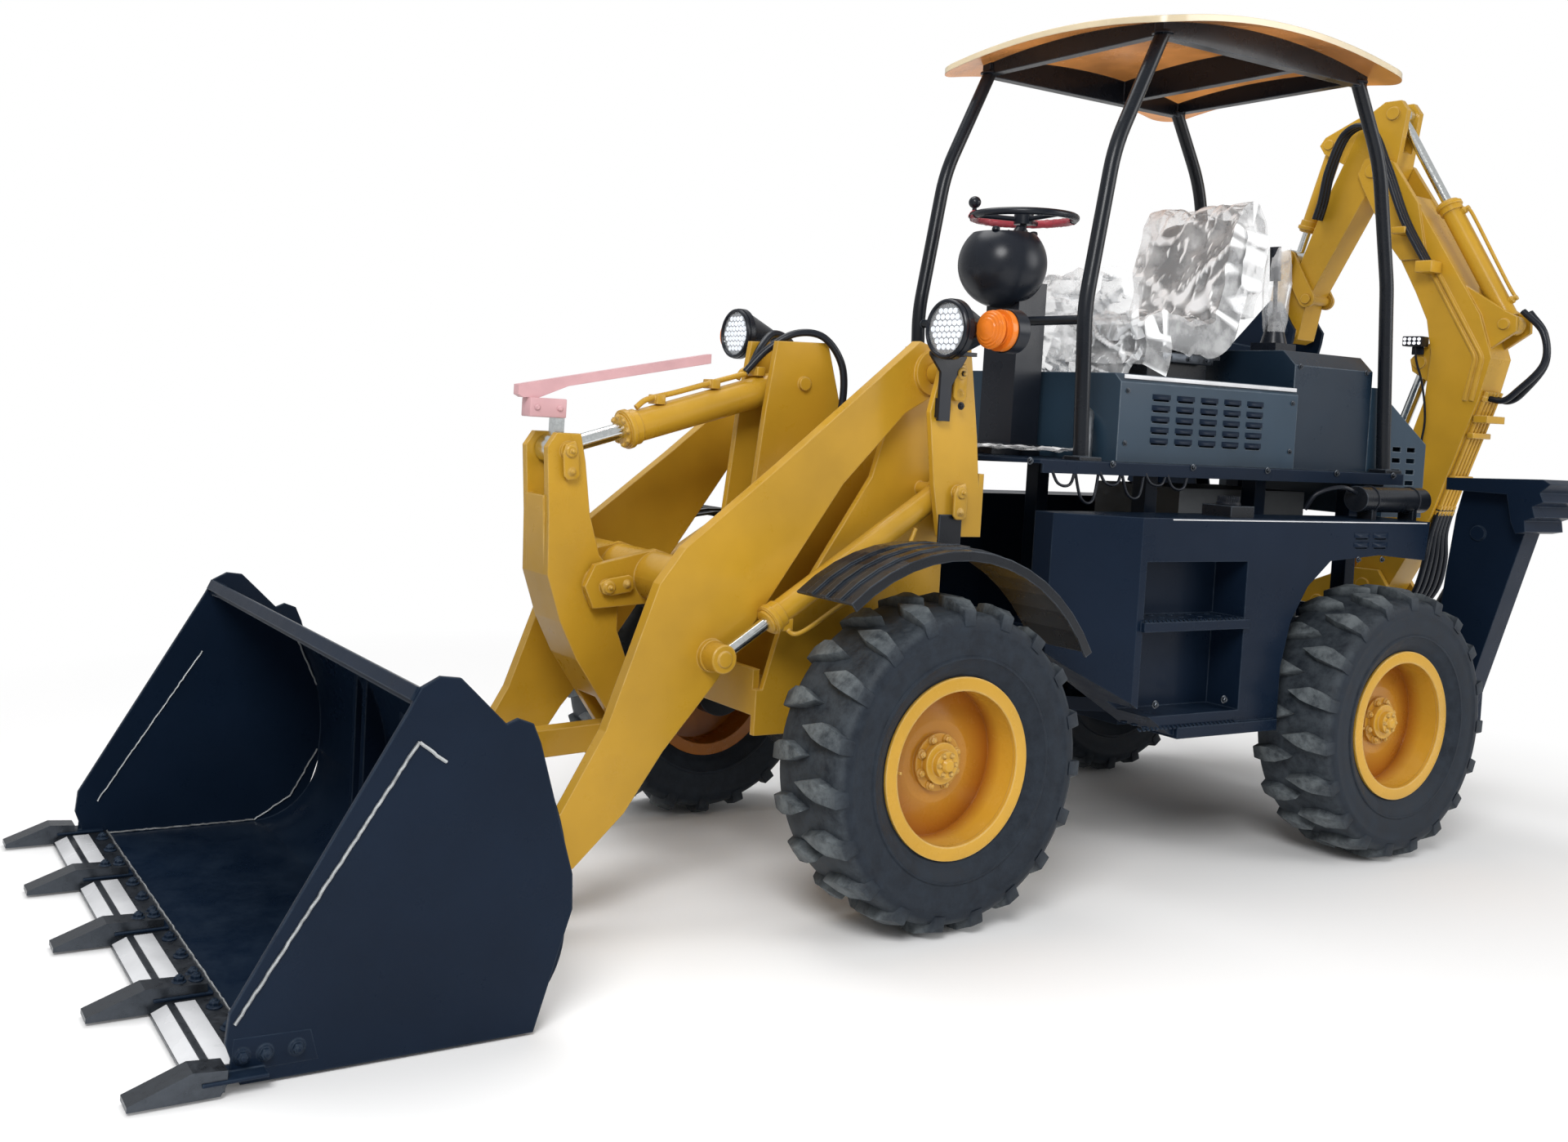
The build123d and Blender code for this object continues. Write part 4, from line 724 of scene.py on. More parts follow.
def make_bucket_trim():
    strips = bmesh.new()
    bolts = bmesh.new()
    for gap in range(4):
        low = (gap - 2) * TOOTH_STEP + TOOTH_HALF + 0.022
        high = (gap - 1) * TOOTH_STEP - TOOTH_HALF - 0.022
        plate(strips, [at(2.098, low, EDGE_TOP), at(2.146, low, EDGE_TOP), at(2.146, high, EDGE_TOP),
                       at(2.098, high, EDGE_TOP)], 0.003, 0.001)
        plate(strips, [at(2.163, low, EDGE_TOP - 0.0005), at(2.199, low, 0.0165), at(2.199, high, 0.0165),
                       at(2.163, high, EDGE_TOP - 0.0005)], 0.003, 0.001)
        for share in (0.14, 0.5, 0.86):
            bolt(bolts, at(2.066, low + (high - low) * share, EDGE_TOP), (0, 0, 1), 0.014)
    for index in range(5):
        y = (index - 2) * TOOTH_STEP
        if abs(index - 2) < 2:
            for x in (2.085, 2.125):
                bolt(bolts, at(x, y, 0.0615), (0, 0, 1), 0.013)
        plate(bolts, [at(2.05, y - 0.036, EDGE_TOP), at(2.19, y - 0.036, EDGE_TOP), at(2.19, y + 0.036, EDGE_TOP),
                      at(2.05, y + 0.036, EDGE_TOP)], 0.008, 0.002)
    for side in (1, -1):
        for x in (1.98, 2.05, 2.1):
            bolt(bolts, at(x, side * 0.9105, 0.07), (0, side, 0), 0.013)
        plate(bolts, [at(1.93, side * 0.9105, 0.035), at(2.125, side * 0.9105, 0.035), at(2.12, side * 0.9105, 0.11),
                      at(1.95, side * 0.9105, 0.105)][::side], 0.008, 0.002)
    piece("edge_strips", strips, "loader_bucket", "edge_steel", BRIGHT_STRIP)
    piece("edge_bolts", bolts, "loader_bucket", "navy_paint")
    beads = bmesh.new()
    weld(beads, [at(2.038, -0.89, 0.034), at(2.038, 0.89, 0.034)], 0.003, 3)
    for side in (1, -1):
        y = side * 0.896
        weld(beads, [at(2.035, y, 0.024), at(1.56, y, 0.024), at(1.44, y, 0.095), at(1.352, y, 0.25)], 0.003, 4)
        weld(beads, [at(1.366, y, 0.47), at(1.452, y, 0.652), at(1.735, y, 0.786)], 0.003, 5)
        y = side * 0.9115
        weld(beads, [at(2.118, y, 0.140), at(1.735, y, 0.715), at(1.668, y, 0.665)], 0.0042, 6)
        y = side * 0.896
        weld(beads, [at(2.070, y, 0.130), at(1.760, y, 0.600)], 0.003, 8)
    weld(beads, [at(1.315, -0.89, 0.335), at(1.315, 0.89, 0.335)], 0.003, 7)
    piece("bucket_welds", beads, "loader_bucket", "navy_paint", WELD)


def weld(bm, points, radius, seed):
    """A bead of slightly uneven drops along straight runs."""
    draw = random.Random(seed)
    for a, b in zip(points, points[1:]):
        a = Vector(a)
        b = Vector(b)
        count = max(2, int((b - a).length / 0.012))
        line = []
        for index in range(count + 1):
            line.append(a.lerp(b, index / count) + Vector([draw.uniform(-0.0012, 0.0012) for _ in range(3)]))
        pipe(bm, line, radius, 6, 1)


# Pins, keeper plates and cylinder fittings
def keeper(bm, pin, toward, y, side, length=0.085, half=0.026):
    """A flat plate beside a pin, held by one bolt, on the outer face at y."""
    a = Vector((pin[0], 0, pin[1]))
    way = (Vector((toward[0], 0, toward[1])) - a).normalized()
    over = Vector((-way.z, 0, way.x))
    corners = []
    for share, reach in ((-0.25, 0.6), (-0.35, -0.6), (0.05, -1), (0.85, -1), (1.0, -0.6), (1.0, 0.6), (0.85, 1), (0.05, 1)):
        spot = a + way * length * share + over * half * reach
        corners.append(at(spot.x, side * y, spot.z))
    plate(bm, corners if side < 0 else corners[::-1], 0.009, 0.002)
    face = side * (y + 0.009)
    bolt(bm, at(a.x + way.x * length * 0.72, face, a.z + way.z * length * 0.72), (0, side, 0), 0.009)
    turned(bm, at(a.x, face, a.z), (0, side, 0), [(0.019, 0), (0.019, 0.005), (0.015, 0.008), (0.006, 0.008)], 24)
    turned(bm, at(a.x, face + side * 0.006, a.z), (0, side, 0), [(0.006, 0), (0.006, 0.008), (0.004, 0.012)], 12)


def make_keepers():
    front = bmesh.new()
    arms = bmesh.new()
    crank = bmesh.new()
    for side in (1, -1):
        keeper(front, (-0.190, 1.640), (-0.190, 1.500), 0.4685, side)
        keeper(front, (-0.220, 1.270), (-0.220, 1.100), 0.4685, side)
        keeper(arms, (0.830, 0.940), (0.700, 0.960), 0.1285, side)
        keeper(crank, (0.965, 1.340), (0.950, 1.200), 0.0945, side)
        keeper(crank, (0.640, 0.470), (0.700, 0.560), 0.0925, side, 0.07, 0.022)
    piece("front_pin_keepers", front, "front_body", "yellow_paint")
    piece("arm_pin_keepers", arms, "loader_arms", "yellow_paint")
    piece("crank_pin_keepers", crank, "bell_crank", "yellow_paint")
    bucket = bmesh.new()
    for side in (1, -1):
        keeper(bucket, (1.170, 0.205), (1.270, 0.300), 0.3825, side)
        keeper(bucket, (1.235, 0.440), (1.300, 0.420), 0.0705, side, 0.06, 0.02)
    piece("bucket_pin_keepers", bucket, "loader_bucket", "navy_paint")


def gland(bm, base, eye, distance, radius, screws, place):
    """A ring with screws at the mouth of a cylinder."""
    start = place(*base)
    way = (place(*eye) - start).normalized()
    mouth = start + way * distance
    turned(bm, mouth - way * 0.022, way, [(radius, 0), (radius + 0.006, 0.003), (radius + 0.006, 0.017), (radius, 0.020)], 32)
    turned(bm, mouth - way * 0.002, way, [(radius * 0.9, 0), (radius * 0.9, 0.008), (radius * 0.62, 0.012),
                                          (radius * 0.56, 0.012)], 32)
    across = way.orthogonal().normalized()
    other = way.cross(across)
    for index in range(screws):
        angle = 2 * math.pi * index / screws
        spot = mouth + (across * math.cos(angle) + other * math.sin(angle)) * radius * 0.8 + way * 0.006
        bolt(bm, spot, way, 0.0075)


def make_cylinder_trim():
    tilt = bmesh.new()
    low_hose = lambda s, z: at(s, 0, z)
    gland(tilt, (0.120, 1.585), (0.965, 1.340), 0.640, 0.056, 8, low_hose)
    pipe(tilt, [at(0.700, 0.012, 1.478), at(0.660, 0.012, 1.506), at(0.560, 0.012, 1.532), at(0.400, 0.012, 1.578),
                at(0.300, 0.012, 1.606)], 0.009)
    pipe(tilt, [at(0.300, -0.03, 1.588), at(0.285, -0.03, 1.614), at(0.250, -0.03, 1.628)], 0.009)
    for x, z in ((0.62, 1.492), (0.42, 1.551), (0.25, 1.601)):
        box(tilt, at(x - 0.016, -0.026, z), at(x + 0.016, 0.03, z + 0.03), 0.003)
    piece("tilt_cylinder_fittings", tilt, "tilt_barrel", "yellow_paint")
    lift = bmesh.new()
    for side in (1, -1):
        place = lambda s, z: at(s, side * 0.385, z)
        gland(lift, (-0.220, 1.270), (0.590, 0.765), 0.760, 0.042, 0, place)
        y = side * 0.425
        pipe(lift, [at(0.372, side * 0.392, 0.852), at(0.345, y + side * 0.012, 0.839), at(0.200, y + side * 0.008, 0.915),
                    at(0.043, y, 0.984), at(-0.06, y - side * 0.006, 1.085), at(-0.10, y - side * 0.012, 1.15)], 0.007)
        box(lift, at(0.352, side * 0.40 - 0.016, 0.842), at(0.392, side * 0.40 + 0.016, 0.88), 0.004)
    piece("lift_cylinder_fittings", lift, "lift_barrels", "yellow_paint")
    fittings = (
        ("boom_barrel", (0.250, 0.780), (-0.100, 1.860), 0.700, 0.052),
        ("dipper_barrel", (-0.430, 2.020), (0.090, 2.950), 0.600, 0.046),
        ("dig_barrel", (0.380, 2.845), (0.528, 2.334), 0.392, 0.040),
    )
    for body, base, eye, distance, radius in fittings:
        bm = bmesh.new()
        gland(bm, base, eye, distance, radius, 0, lambda s, z: arm_at(s, 0, z))
        start = arm_at(base[0], 0, base[1])
        way = (arm_at(eye[0], 0, eye[1]) - start).normalized()
        out = way.cross(ARM_SIDE).normalized()
        if out.dot(arm_at(-1, 0, 0) - arm_at(0, 0, 0)) < 0:
            out = -out
        if body != "dipper_barrel":
            piece(body + "_fittings", bm, body, "yellow_paint")
            continue
        for share in (0.16, 0.9):
            turned(bm, start + way * distance * share + out * radius * 0.7, out,
                   [(0.016, 0), (0.016, 0.018), (0.011, 0.022), (0.011, 0.036)], 14)
        pipe(bm, [start + way * distance * 0.9 + out * (radius + 0.016), start + way * distance * 0.8 + out * (radius + 0.02),
                  start + way * distance * 0.3 + out * (radius + 0.014), start + way * distance * 0.16 + out * (radius + 0.016)],
             0.007)
        piece(body + "_fittings", bm, body, "yellow_paint")


def make_hoses():
    """Hoses that cross one joint get no body here."""
    rubber_hose = MATERIALS["black_plastic"]
    tilt = bmesh.new()
    pipe(tilt, [at(0.300, 0.012, 1.612), at(0.230, 0.030, 1.690), at(0.150, 0.066, 1.745), at(0.060, 0.098, 1.738),
                at(-0.010, 0.112, 1.650), at(-0.020, 0.110, 1.520), at(0.020, 0.106, 1.400), at(0.090, 0.102, 1.310)], 0.012)
    pipe(tilt, [at(0.250, -0.03, 1.632), at(0.200, -0.052, 1.700), at(0.130, -0.080, 1.748), at(0.040, -0.104, 1.720),
                at(-0.025, -0.112, 1.620), at(-0.030, -0.110, 1.500), at(0.010, -0.106, 1.390), at(0.080, -0.102, 1.310)], 0.012)
    hose = piece("tilt_hoses", tilt, None, "black_plastic", rubber_hose)
    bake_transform(hose)
    tower = bmesh.new()
    for side in (1, -1):
        turned(tower, at(0.105, side * 0.085, 1.295), (-0.55, side * 0.3, 0.6), [(0.016, 0), (0.016, 0.02), (0.013, 0.022), (0.013, 0.03)], 6)
    for index in range(3):
        y = -0.03 + index * 0.03
        pipe(tower, [at(0.020, y * 1.2, 1.420 - index * 0.01), at(0.10, y, 1.22), at(0.18, y, 1.02), at(0.05, y, 0.86),
                     at(-0.03, y, 0.74)], 0.012)
    piece("tower_hoses", tower, "front_body", "black_plastic", rubber_hose)
    head = bmesh.new()
    for index in range(3):
        t = 0.112 + index * 0.024
        pipe(head, [arm_at(-0.140, t, 2.270), arm_at(-0.030, t + 0.006, 2.470), arm_at(0.060, t + 0.010, 2.700),
                    arm_at(0.150, t + 0.008, 2.880), arm_at(0.260, t - 0.004, 2.870), arm_at(0.330, t - 0.014, 2.720),
                    arm_at(0.360, t - 0.024, 2.580), arm_at(0.385, t - 0.03, 2.500)], 0.011)
    hose = piece("boom_head_hoses", head, None, "black_plastic", rubber_hose)
    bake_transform(hose)
    back = bmesh.new()
    for index in range(2):
        t = -0.03 + index * 0.06
        pipe(back, [arm_at(-0.482, t, 2.075), arm_at(-0.545 - index * 0.02, t, 1.985), arm_at(-0.555 - index * 0.02, t, 1.86),
                    arm_at(-0.480, t, 1.745), arm_at(-0.430, t, 1.706), arm_at(-0.378, t, 1.712)], 0.013)
    piece("boom_back_hoses", back, "boom", "black_plastic", rubber_hose)
    foot = bmesh.new()
    for index in range(5):
        t = (index - 2) * 0.028
        pipe(foot, [arm_at(-0.219, t, 1.235), arm_at(-0.196, t * 1.1, 1.130), arm_at(-0.190, t * 1.5, 1.010),
                    arm_at(-0.165, t * 1.6, 0.890), arm_at(-0.105, t * 1.3, 0.790), arm_at(-0.04, t, 0.735)], 0.012)
    hose = piece("boom_foot_hoses", foot, None, "black_plastic", rubber_hose)
    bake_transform(hose)
    ends = bmesh.new()
    box(ends, (-0.175, 0.086, 2.235), (-0.105, 0.180, 2.285), 0.005)
    box(ends, (-0.055, 0.086, 2.405), (0.005, 0.184, 2.435), 0.005)
    bmesh.ops.transform(ends, matrix=ARM_FRAME, verts=ends.verts)
    for index in range(5):
        t = (index - 2) * 0.028
        way = arm_at(-0.372, 0, 1.72) - arm_at(-0.218, 0, 1.23)
        for place in (arm_at(-0.218, t, 1.23), arm_at(-0.372, t, 1.72)):
            turned(ends, place - way.normalized() * 0.02, way, [(0.014, 0), (0.014, 0.018), (0.012, 0.02), (0.012, 0.042)], 6)
    for place in ((-0.32, 1.555), (-0.262, 1.37)):
        box(ends, (-0.076, -0.014, -0.012), (0.076, 0.014, 0.012), 0.004)
        spot = Matrix.Translation(arm_at(place[0] - 0.012, 0, place[1])) @ Matrix.Rotation(ARM_ANGLE + math.pi / 2, 4, "Z")
        bmesh.ops.transform(ends, matrix=spot, verts=[v for v in ends.verts if v.co.length < 0.12])
    piece("boom_pipe_fittings", ends, "boom", "yellow_paint")


# Lamps and indicators
LAMP_AT = (-0.060, 0.561, 1.767)
LENS_FRONT = -0.048
INDICATOR_AT = (-0.105, 0.685, 1.767)


def turned_at(bm, middle, profile, sides=48, way=(1, 0, 0)):
    turned(bm, middle, way, profile, sides)


def make_lamps():
    bezel = bmesh.new()
    leds = bmesh.new()
    glass = bmesh.new()
    domes = bmesh.new()
    for side in (1, -1):
        middle = at(LENS_FRONT, side * LAMP_AT[1], LAMP_AT[2])
        ring = [(0.078, -0.002), (0.086, -0.002), (0.090, 0.002), (0.090, 0.010), (0.086, 0.014), (0.080, 0.014), (0.077, 0.009)]
        spun(bezel, middle, ring, 56)
        for row in range(-3, 4):
            for column in range(-3, 4):
                y = column * 0.0205 + (row % 2) * 0.01
                z = row * 0.0178
                if math.hypot(y, z) > 0.064:
                    continue
                spot = middle + Vector((0.0005, y, z))
                turned(leds, spot, (1, 0, 0), [(0.0092, 0), (0.0085, 0.0035), (0.0055, 0.001), (0.002, 0.0008)], 8)
        turned(glass, middle + Vector((0.002, 0, 0)), (1, 0, 0), [(0.0785, 0), (0.0785, 0.005), (0.066, 0.0085), (0.03, 0.010),
                                                                (0.005, 0.0103)], 56)
        spot = at(INDICATOR_AT[0], side * INDICATOR_AT[1], INDICATOR_AT[2])
        dome = [(0.055, -0.002), (0.058, 0.002), (0.056, 0.010), (0.052, 0.011), (0.050, 0.016), (0.044, 0.0165), (0.042, 0.021),
                (0.035, 0.0215), (0.032, 0.025), (0.024, 0.0255), (0.020, 0.028), (0.004, 0.029)]
        turned(domes, spot, (1, 0, 0), dome, 48)
        for angle in (math.pi / 2, -math.pi / 2):
            screw = spot + Vector((0.006, 0.050 * math.cos(angle), 0.050 * math.sin(angle)))
            turned(bezel, screw, (1, 0, 0), [(0.005, 0), (0.005, 0.003), (0.003, 0.004)], 10)
        for z in (1.80, 1.70, 1.60):
            bolt(bezel, at(-0.19, side * 0.4815, z - 0.06), (0, side, 0), 0.009)
    piece("lamp_bezels", bezel, "front_body", "black_plastic")
    piece("lamp_leds", leds, "front_body", "lamp_glass", LED_METAL)
    piece("lamp_covers", glass, "front_body", "lamp_glass")
    piece("indicator_domes", domes, "front_body", "amber_plastic")


def spun(bm, middle, profile, sides):
    """A closed ring about X from an outline in radius and X."""
    rings = []
    for index in range(sides):
        angle = 2 * math.pi * index / sides
        rings.append([bm.verts.new(middle + Vector((x, r * math.cos(angle), r * math.sin(angle)))) for r, x in profile])
    for low, high in zip(rings, rings[1:] + rings[:1]):
        for a in range(len(profile)):
            b = (a + 1) % len(profile)
            bm.faces.new((low[a], low[b], high[b], high[a]))


# Seat: a padded pan and back, with clear film laid over them
SEAT_HALF = 0.205


def cushion(name, corners, half, crown, seams, material, seed):
    """A crowned closed form across the seat from its outline in x and z, with sewn channels at shares of its width."""
    bm = bmesh.new()
    across = 25
    outline = smooth_path([Vector((x, 0, z)) for x, z in corners] + [Vector((corners[0][0], 0, corners[0][1]))], 6)[:-1]
    middle = sum(outline, Vector()) / len(outline)
    rows = []
    for index in range(across):
        share = index / (across - 1) * 2 - 1
        y = half * math.copysign(1 - (1 - abs(share)) ** 1.6, share) if abs(share) > 0.6 else half * share * 1.18
        y = max(-half, min(half, half * share * (1.15 - 0.15 * share * share)))
        edge = (1 - abs(share) ** 7) ** 0.45 if abs(share) < 1 else 0
        swell = 1 - crown * share * share
        pinch = 1 - 0.06 * sum(math.exp(-((share - seam) / 0.035) ** 2) for seam in seams)
        row = []
        for spot in outline:
            away = spot - middle
            inset = 0.72 + 0.28 * edge
            moved = middle + away * inset * (swell if edge > 0.2 else 1) * pinch
            row.append(bm.verts.new(at(moved.x, y, moved.z)))
        rows.append(row)
    for low, high in zip(rows, rows[1:]):
        for a in range(len(outline)):
            b = (a + 1) % len(outline)
            bm.faces.new((low[a], low[b], high[b], high[a]))
    bm.faces.new(rows[0][::-1])
    bm.faces.new(rows[-1])
    for vertex in bm.verts:
        dent = noise.noise(vertex.co * 9 + Vector((seed, 0, 0))) * 0.003
        vertex.co += Vector((0, 0, dent))
    made = piece(name, bm, "rear_body", "seat_vinyl", material, 60)
    modifier = made.modifiers.new("rounding", "SUBSURF")
    modifier.levels = 1
    modifier.render_levels = 1
    return made


def film_sheet(name, spine, half, body, crumple, seed, steps=110, across=80, flare=0.0, fold=0.035):
    """Clear film along a line in x and z, wider at its loose ends, with sharp creases."""
    line = [Vector((x, 0, z)) for x, z in spine]
    spots = smooth_path(line, max(2, steps // (len(line) - 1)))
    bm = bmesh.new()
    creased = bm.verts.layers.float.new("crease")
    rows = []
    for index, spot in enumerate(spots):
        ahead = (spots[min(index + 1, len(spots) - 1)] - spots[max(index - 1, 0)]).normalized()
        out = Vector((ahead.z, 0, -ahead.x))
        along = index / (len(spots) - 1)
        width = half * (1 + flare * abs(2 * along - 1) ** 3)
        row = []
        for step in range(across + 1):
            v = step / across * 2 - 1
            turned_in = max(0, abs(v) - 0.78) / 0.22
            place = Vector((spot.x, width * math.copysign(min(abs(v), 0.78) / 0.78 + 0.02 * turned_in, v), spot.z))
            seat = Vector((seed, 0, 0))
            warped = place + noise.noise_vector(place * 4 + seat) * 0.09
            ridge = 1 - 2.4 * abs(noise.noise(warped * 6 + seat))
            fine = 1 - 2.4 * abs(noise.noise(warped * 15 + seat * 2))
            lift = crumple * (0.45 + 0.55 * ridge) + crumple * 0.4 * fine
            corner = bm.verts.new(at(place.x, place.y, place.z) + out * (lift - fold * turned_in))
            # The crease share also marks where the film's painted sheen goes.
            corner[creased] = max(0.0, ridge) ** 9 + 0.8 * max(0.0, fine) ** 10
            row.append(corner)
        rows.append(row)
    for low, high in zip(rows, rows[1:]):
        for a in range(across):
            bm.faces.new((low[a], low[a + 1], high[a + 1], high[a]))
    area = sum(face.calc_area() for face in bm.faces)
    made = piece(name, bm, body, "wrap_film", FILM, 30)
    return made


def make_seat():
    pan = [(-1.345, 1.800), (-1.338, 1.850), (-1.365, 1.889), (-1.50, 1.893), (-1.66, 1.889), (-1.715, 1.875), (-1.735, 1.830),
           (-1.70, 1.798), (-1.50, 1.797)]
    back = [(-1.712, 1.880), (-1.722, 1.950), (-1.752, 2.120), (-1.792, 2.285), (-1.822, 2.328), (-1.868, 2.328), (-1.888, 2.285),
            (-1.868, 2.120), (-1.838, 1.870), (-1.805, 1.800), (-1.745, 1.805)]
    low = cushion("seat_pan_cushion", pan, SEAT_HALF, 0.10, (-0.45, 0.45), MATERIALS["seat_vinyl"], 1)
    high = cushion("seat_back_cushion", back, SEAT_HALF, 0.10, (-0.45, 0.45), MATERIALS["seat_vinyl"], 2)
    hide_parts("seat")
    spine = [(-1.300, 1.730), (-1.322, 1.80), (-1.325, 1.872), (-1.375, 1.905), (-1.52, 1.905), (-1.66, 1.905), (-1.705, 1.945),
             (-1.740, 2.10), (-1.778, 2.28), (-1.815, 2.345), (-1.872, 2.345), (-1.905, 2.29), (-1.885, 2.12), (-1.862, 1.95)]
    film_sheet("seat_film", spine, 0.218, "rear_body", 0.030, 5, flare=0.06, fold=0.13)
    dash = [(-1.335, 1.840), (-1.290, 1.960), (-1.215, 2.070), (-1.120, 2.085), (-1.050, 1.990), (-1.020, 1.860), (-1.030, 1.720),
            (-1.060, 1.590), (-1.085, 1.480), (-1.040, 1.412)]
    film_sheet("dash_film", dash, 0.17, "rear_body", 0.040, 21, 90, 60, 0.1)
    tail = [(-1.325, 1.800), (-1.270, 1.735), (-1.235, 1.640), (-1.220, 1.540), (-1.180, 1.450), (-1.120, 1.402), (-1.060, 1.398)]
    film_sheet("seat_film_tail", tail, 0.17, "rear_body", 0.022, 9, 70, 50, 0.1)
    deck = [(-0.52, 1.396), (-0.60, 1.397), (-0.70, 1.396), (-0.80, 1.397), (-0.905, 1.396), (-0.975, 1.396)]
    film_sheet("deck_film", deck, 0.33, "rear_body", 0.020, 13, 60, 80, -0.1, 0.0)
    bm = bmesh.new()
    for side in (1, -1):
        box(bm, at(-1.70, side * 0.187 - 0.012, 1.755), at(-1.42, side * 0.187 + 0.012, 1.79), 0.004)
        for x in (-1.66, -1.56, -1.46):
            bolt(bm, at(x, side * 0.199, 1.772), (0, side, 0), 0.008)
    pipe(bm, [at(-1.40, 0.15, 1.765), at(-1.34, 0.155, 1.758), at(-1.325, 0.05, 1.758), at(-1.325, -0.05, 1.758),
              at(-1.34, -0.155, 1.758), at(-1.40, -0.15, 1.765)], 0.008)
    piece("seat_slides", bm, "rear_body", "edge_steel")


# Steering column, wheel film and lever film
WHEEL_MIDDLE = (-0.880, 0.0, 2.238)
WHEEL_RADIUS = 0.180


def make_wheel_film():
    """Film wound round the near part of the rim, loose at its edge."""
    bm = bmesh.new()
    middle = at(*WHEEL_MIDDLE)
    rows = []
    around = 84
    for index in range(around + 1):
        angle = math.radians(150 + 190 * index / around)
        row = []
        for step in range(15):
            turn = 2 * math.pi * (step / 16) + 0.6 * math.sin(index * 0.4)
            radius = 0.0150 + 0.0035 * noise.noise(Vector((index * 0.45, step * 0.9, 3)))
            reach = WHEEL_RADIUS + radius * math.cos(turn)
            row.append(bm.verts.new(middle + Vector((reach * math.cos(angle), reach * math.sin(angle), radius * math.sin(turn)))))
        rows.append(row)
    for low, high in zip(rows, rows[1:]):
        for a in range(len(low) - 1):
            bm.faces.new((low[a], low[a + 1], high[a + 1], high[a]))
    area = sum(face.calc_area() for face in bm.faces)
    made = piece("wheel_film", bm, "steering_wheel", "wrap_film", WHEEL_WRAP, 40)


def make_lever_film():
    bm = bmesh.new()
    rows = []
    high_steps = 40
    for index in range(high_steps + 1):
        share = index / high_steps
        z = 1.905 + 0.322 * share
        spread_out = 0.034 + 0.012 * math.sin(share * 3.1)
        row = []
        for step in range(23):
            angle = 2 * math.pi * step / 24
            crease = 0.007 * (1 - 2 * abs(noise.noise(Vector((math.cos(angle) * 2, math.sin(angle) * 2, share * 4)))))
            radius = spread_out + crease
            row.append(bm.verts.new(at(-2.010 + radius * math.cos(angle), 0.220 + radius * math.sin(angle), z)))
        rows.append(row)
    for low, high in zip(rows, rows[1:]):
        for a in range(len(low) - 1):
            bm.faces.new((low[a], low[a + 1], high[a + 1], high[a]))
    area = sum(face.calc_area() for face in bm.faces)
    made = piece("lever_film", bm, "rear_body", "wrap_film", FILM, 40)


def make_column_trim():
    bm = bmesh.new()
    for index in range(5):
        y = -0.05 + index * 0.024
        pipe(bm, [at(-0.800 - index * 0.004, y, 1.930), at(-0.880, y * 1.3, 1.820), at(-0.900, y * 1.5, 1.650),
                  at(-0.890, y * 1.2, 1.510), at(-0.860, y * 1.6, 1.393)], 0.006, 8)
    piece("column_cables", bm, "rear_body", "black_plastic")
    bm = bmesh.new()
    pipe(bm, [at(-0.945, 0.30, 1.390), at(-0.945, 0.30, 1.450), at(-0.960, 0.285, 1.520), at(-1.010, 0.250, 1.555),
              at(-1.060, 0.215, 1.550), at(-1.100, 0.190, 1.500), at(-1.110, 0.185, 1.40)], 0.021, 16)
    box(bm, at(-1.17, 0.24, 1.3865), at(-1.08, 0.33, 1.462), 0.008)
    turned(bm, at(-1.125, 0.285, 1.460), (0, 0, 1), [(0.030, 0), (0.030, 0.018), (0.022, 0.026), (0.012, 0.03)], 24)
    piece("floor_pipe", bm, "rear_body", "edge_steel", PIPE_METAL)
    bm = bmesh.new()
    for index in range(6):
        angle = 2 * math.pi * index / 6
        bolt(bm, at(-0.79 + 0.060 * math.cos(angle), 0.060 * math.sin(angle), 2.171), (0, 0, 1), 0.005)
    for angle in (30, 150, 270):
        way = math.radians(angle)
        turned(bm, at(-0.79 + 0.105 * math.cos(way), 0.105 * math.sin(way), 2.1705), (0, 0, 1),
               [(0.014, 0), (0.014, 0.006), (0.011, 0.012), (0.004, 0.014)], 20)
    piece("pod_switches", bm, "rear_body", "black_plastic")


# Rear body: louvre lips, bolts, caps, painted highlight lines along edges
def lip(bm, x, y, z, side, half):
    """A pressed half-round lip over a slot in an upright side."""
    rows = []
    for step in range(9):
        share = step / 8 * 2 - 1
        depth = 0.011 * max(0.0, 1 - share ** 4) + 0.0004
        row = []
        for level, reach in ((0.012, 0.0), (0.009, 0.55), (0.002, 0.95), (-0.003, 1.0), (-0.006, 0.9)):
            row.append(bm.verts.new(at(x + half * share, side * (y + depth * reach), z + level)))
        rows.append(row)
    for low, high in zip(rows, rows[1:]):
        for a in range(len(low) - 1):
            bm.faces.new((low[a], low[a + 1], high[a + 1], high[a]))


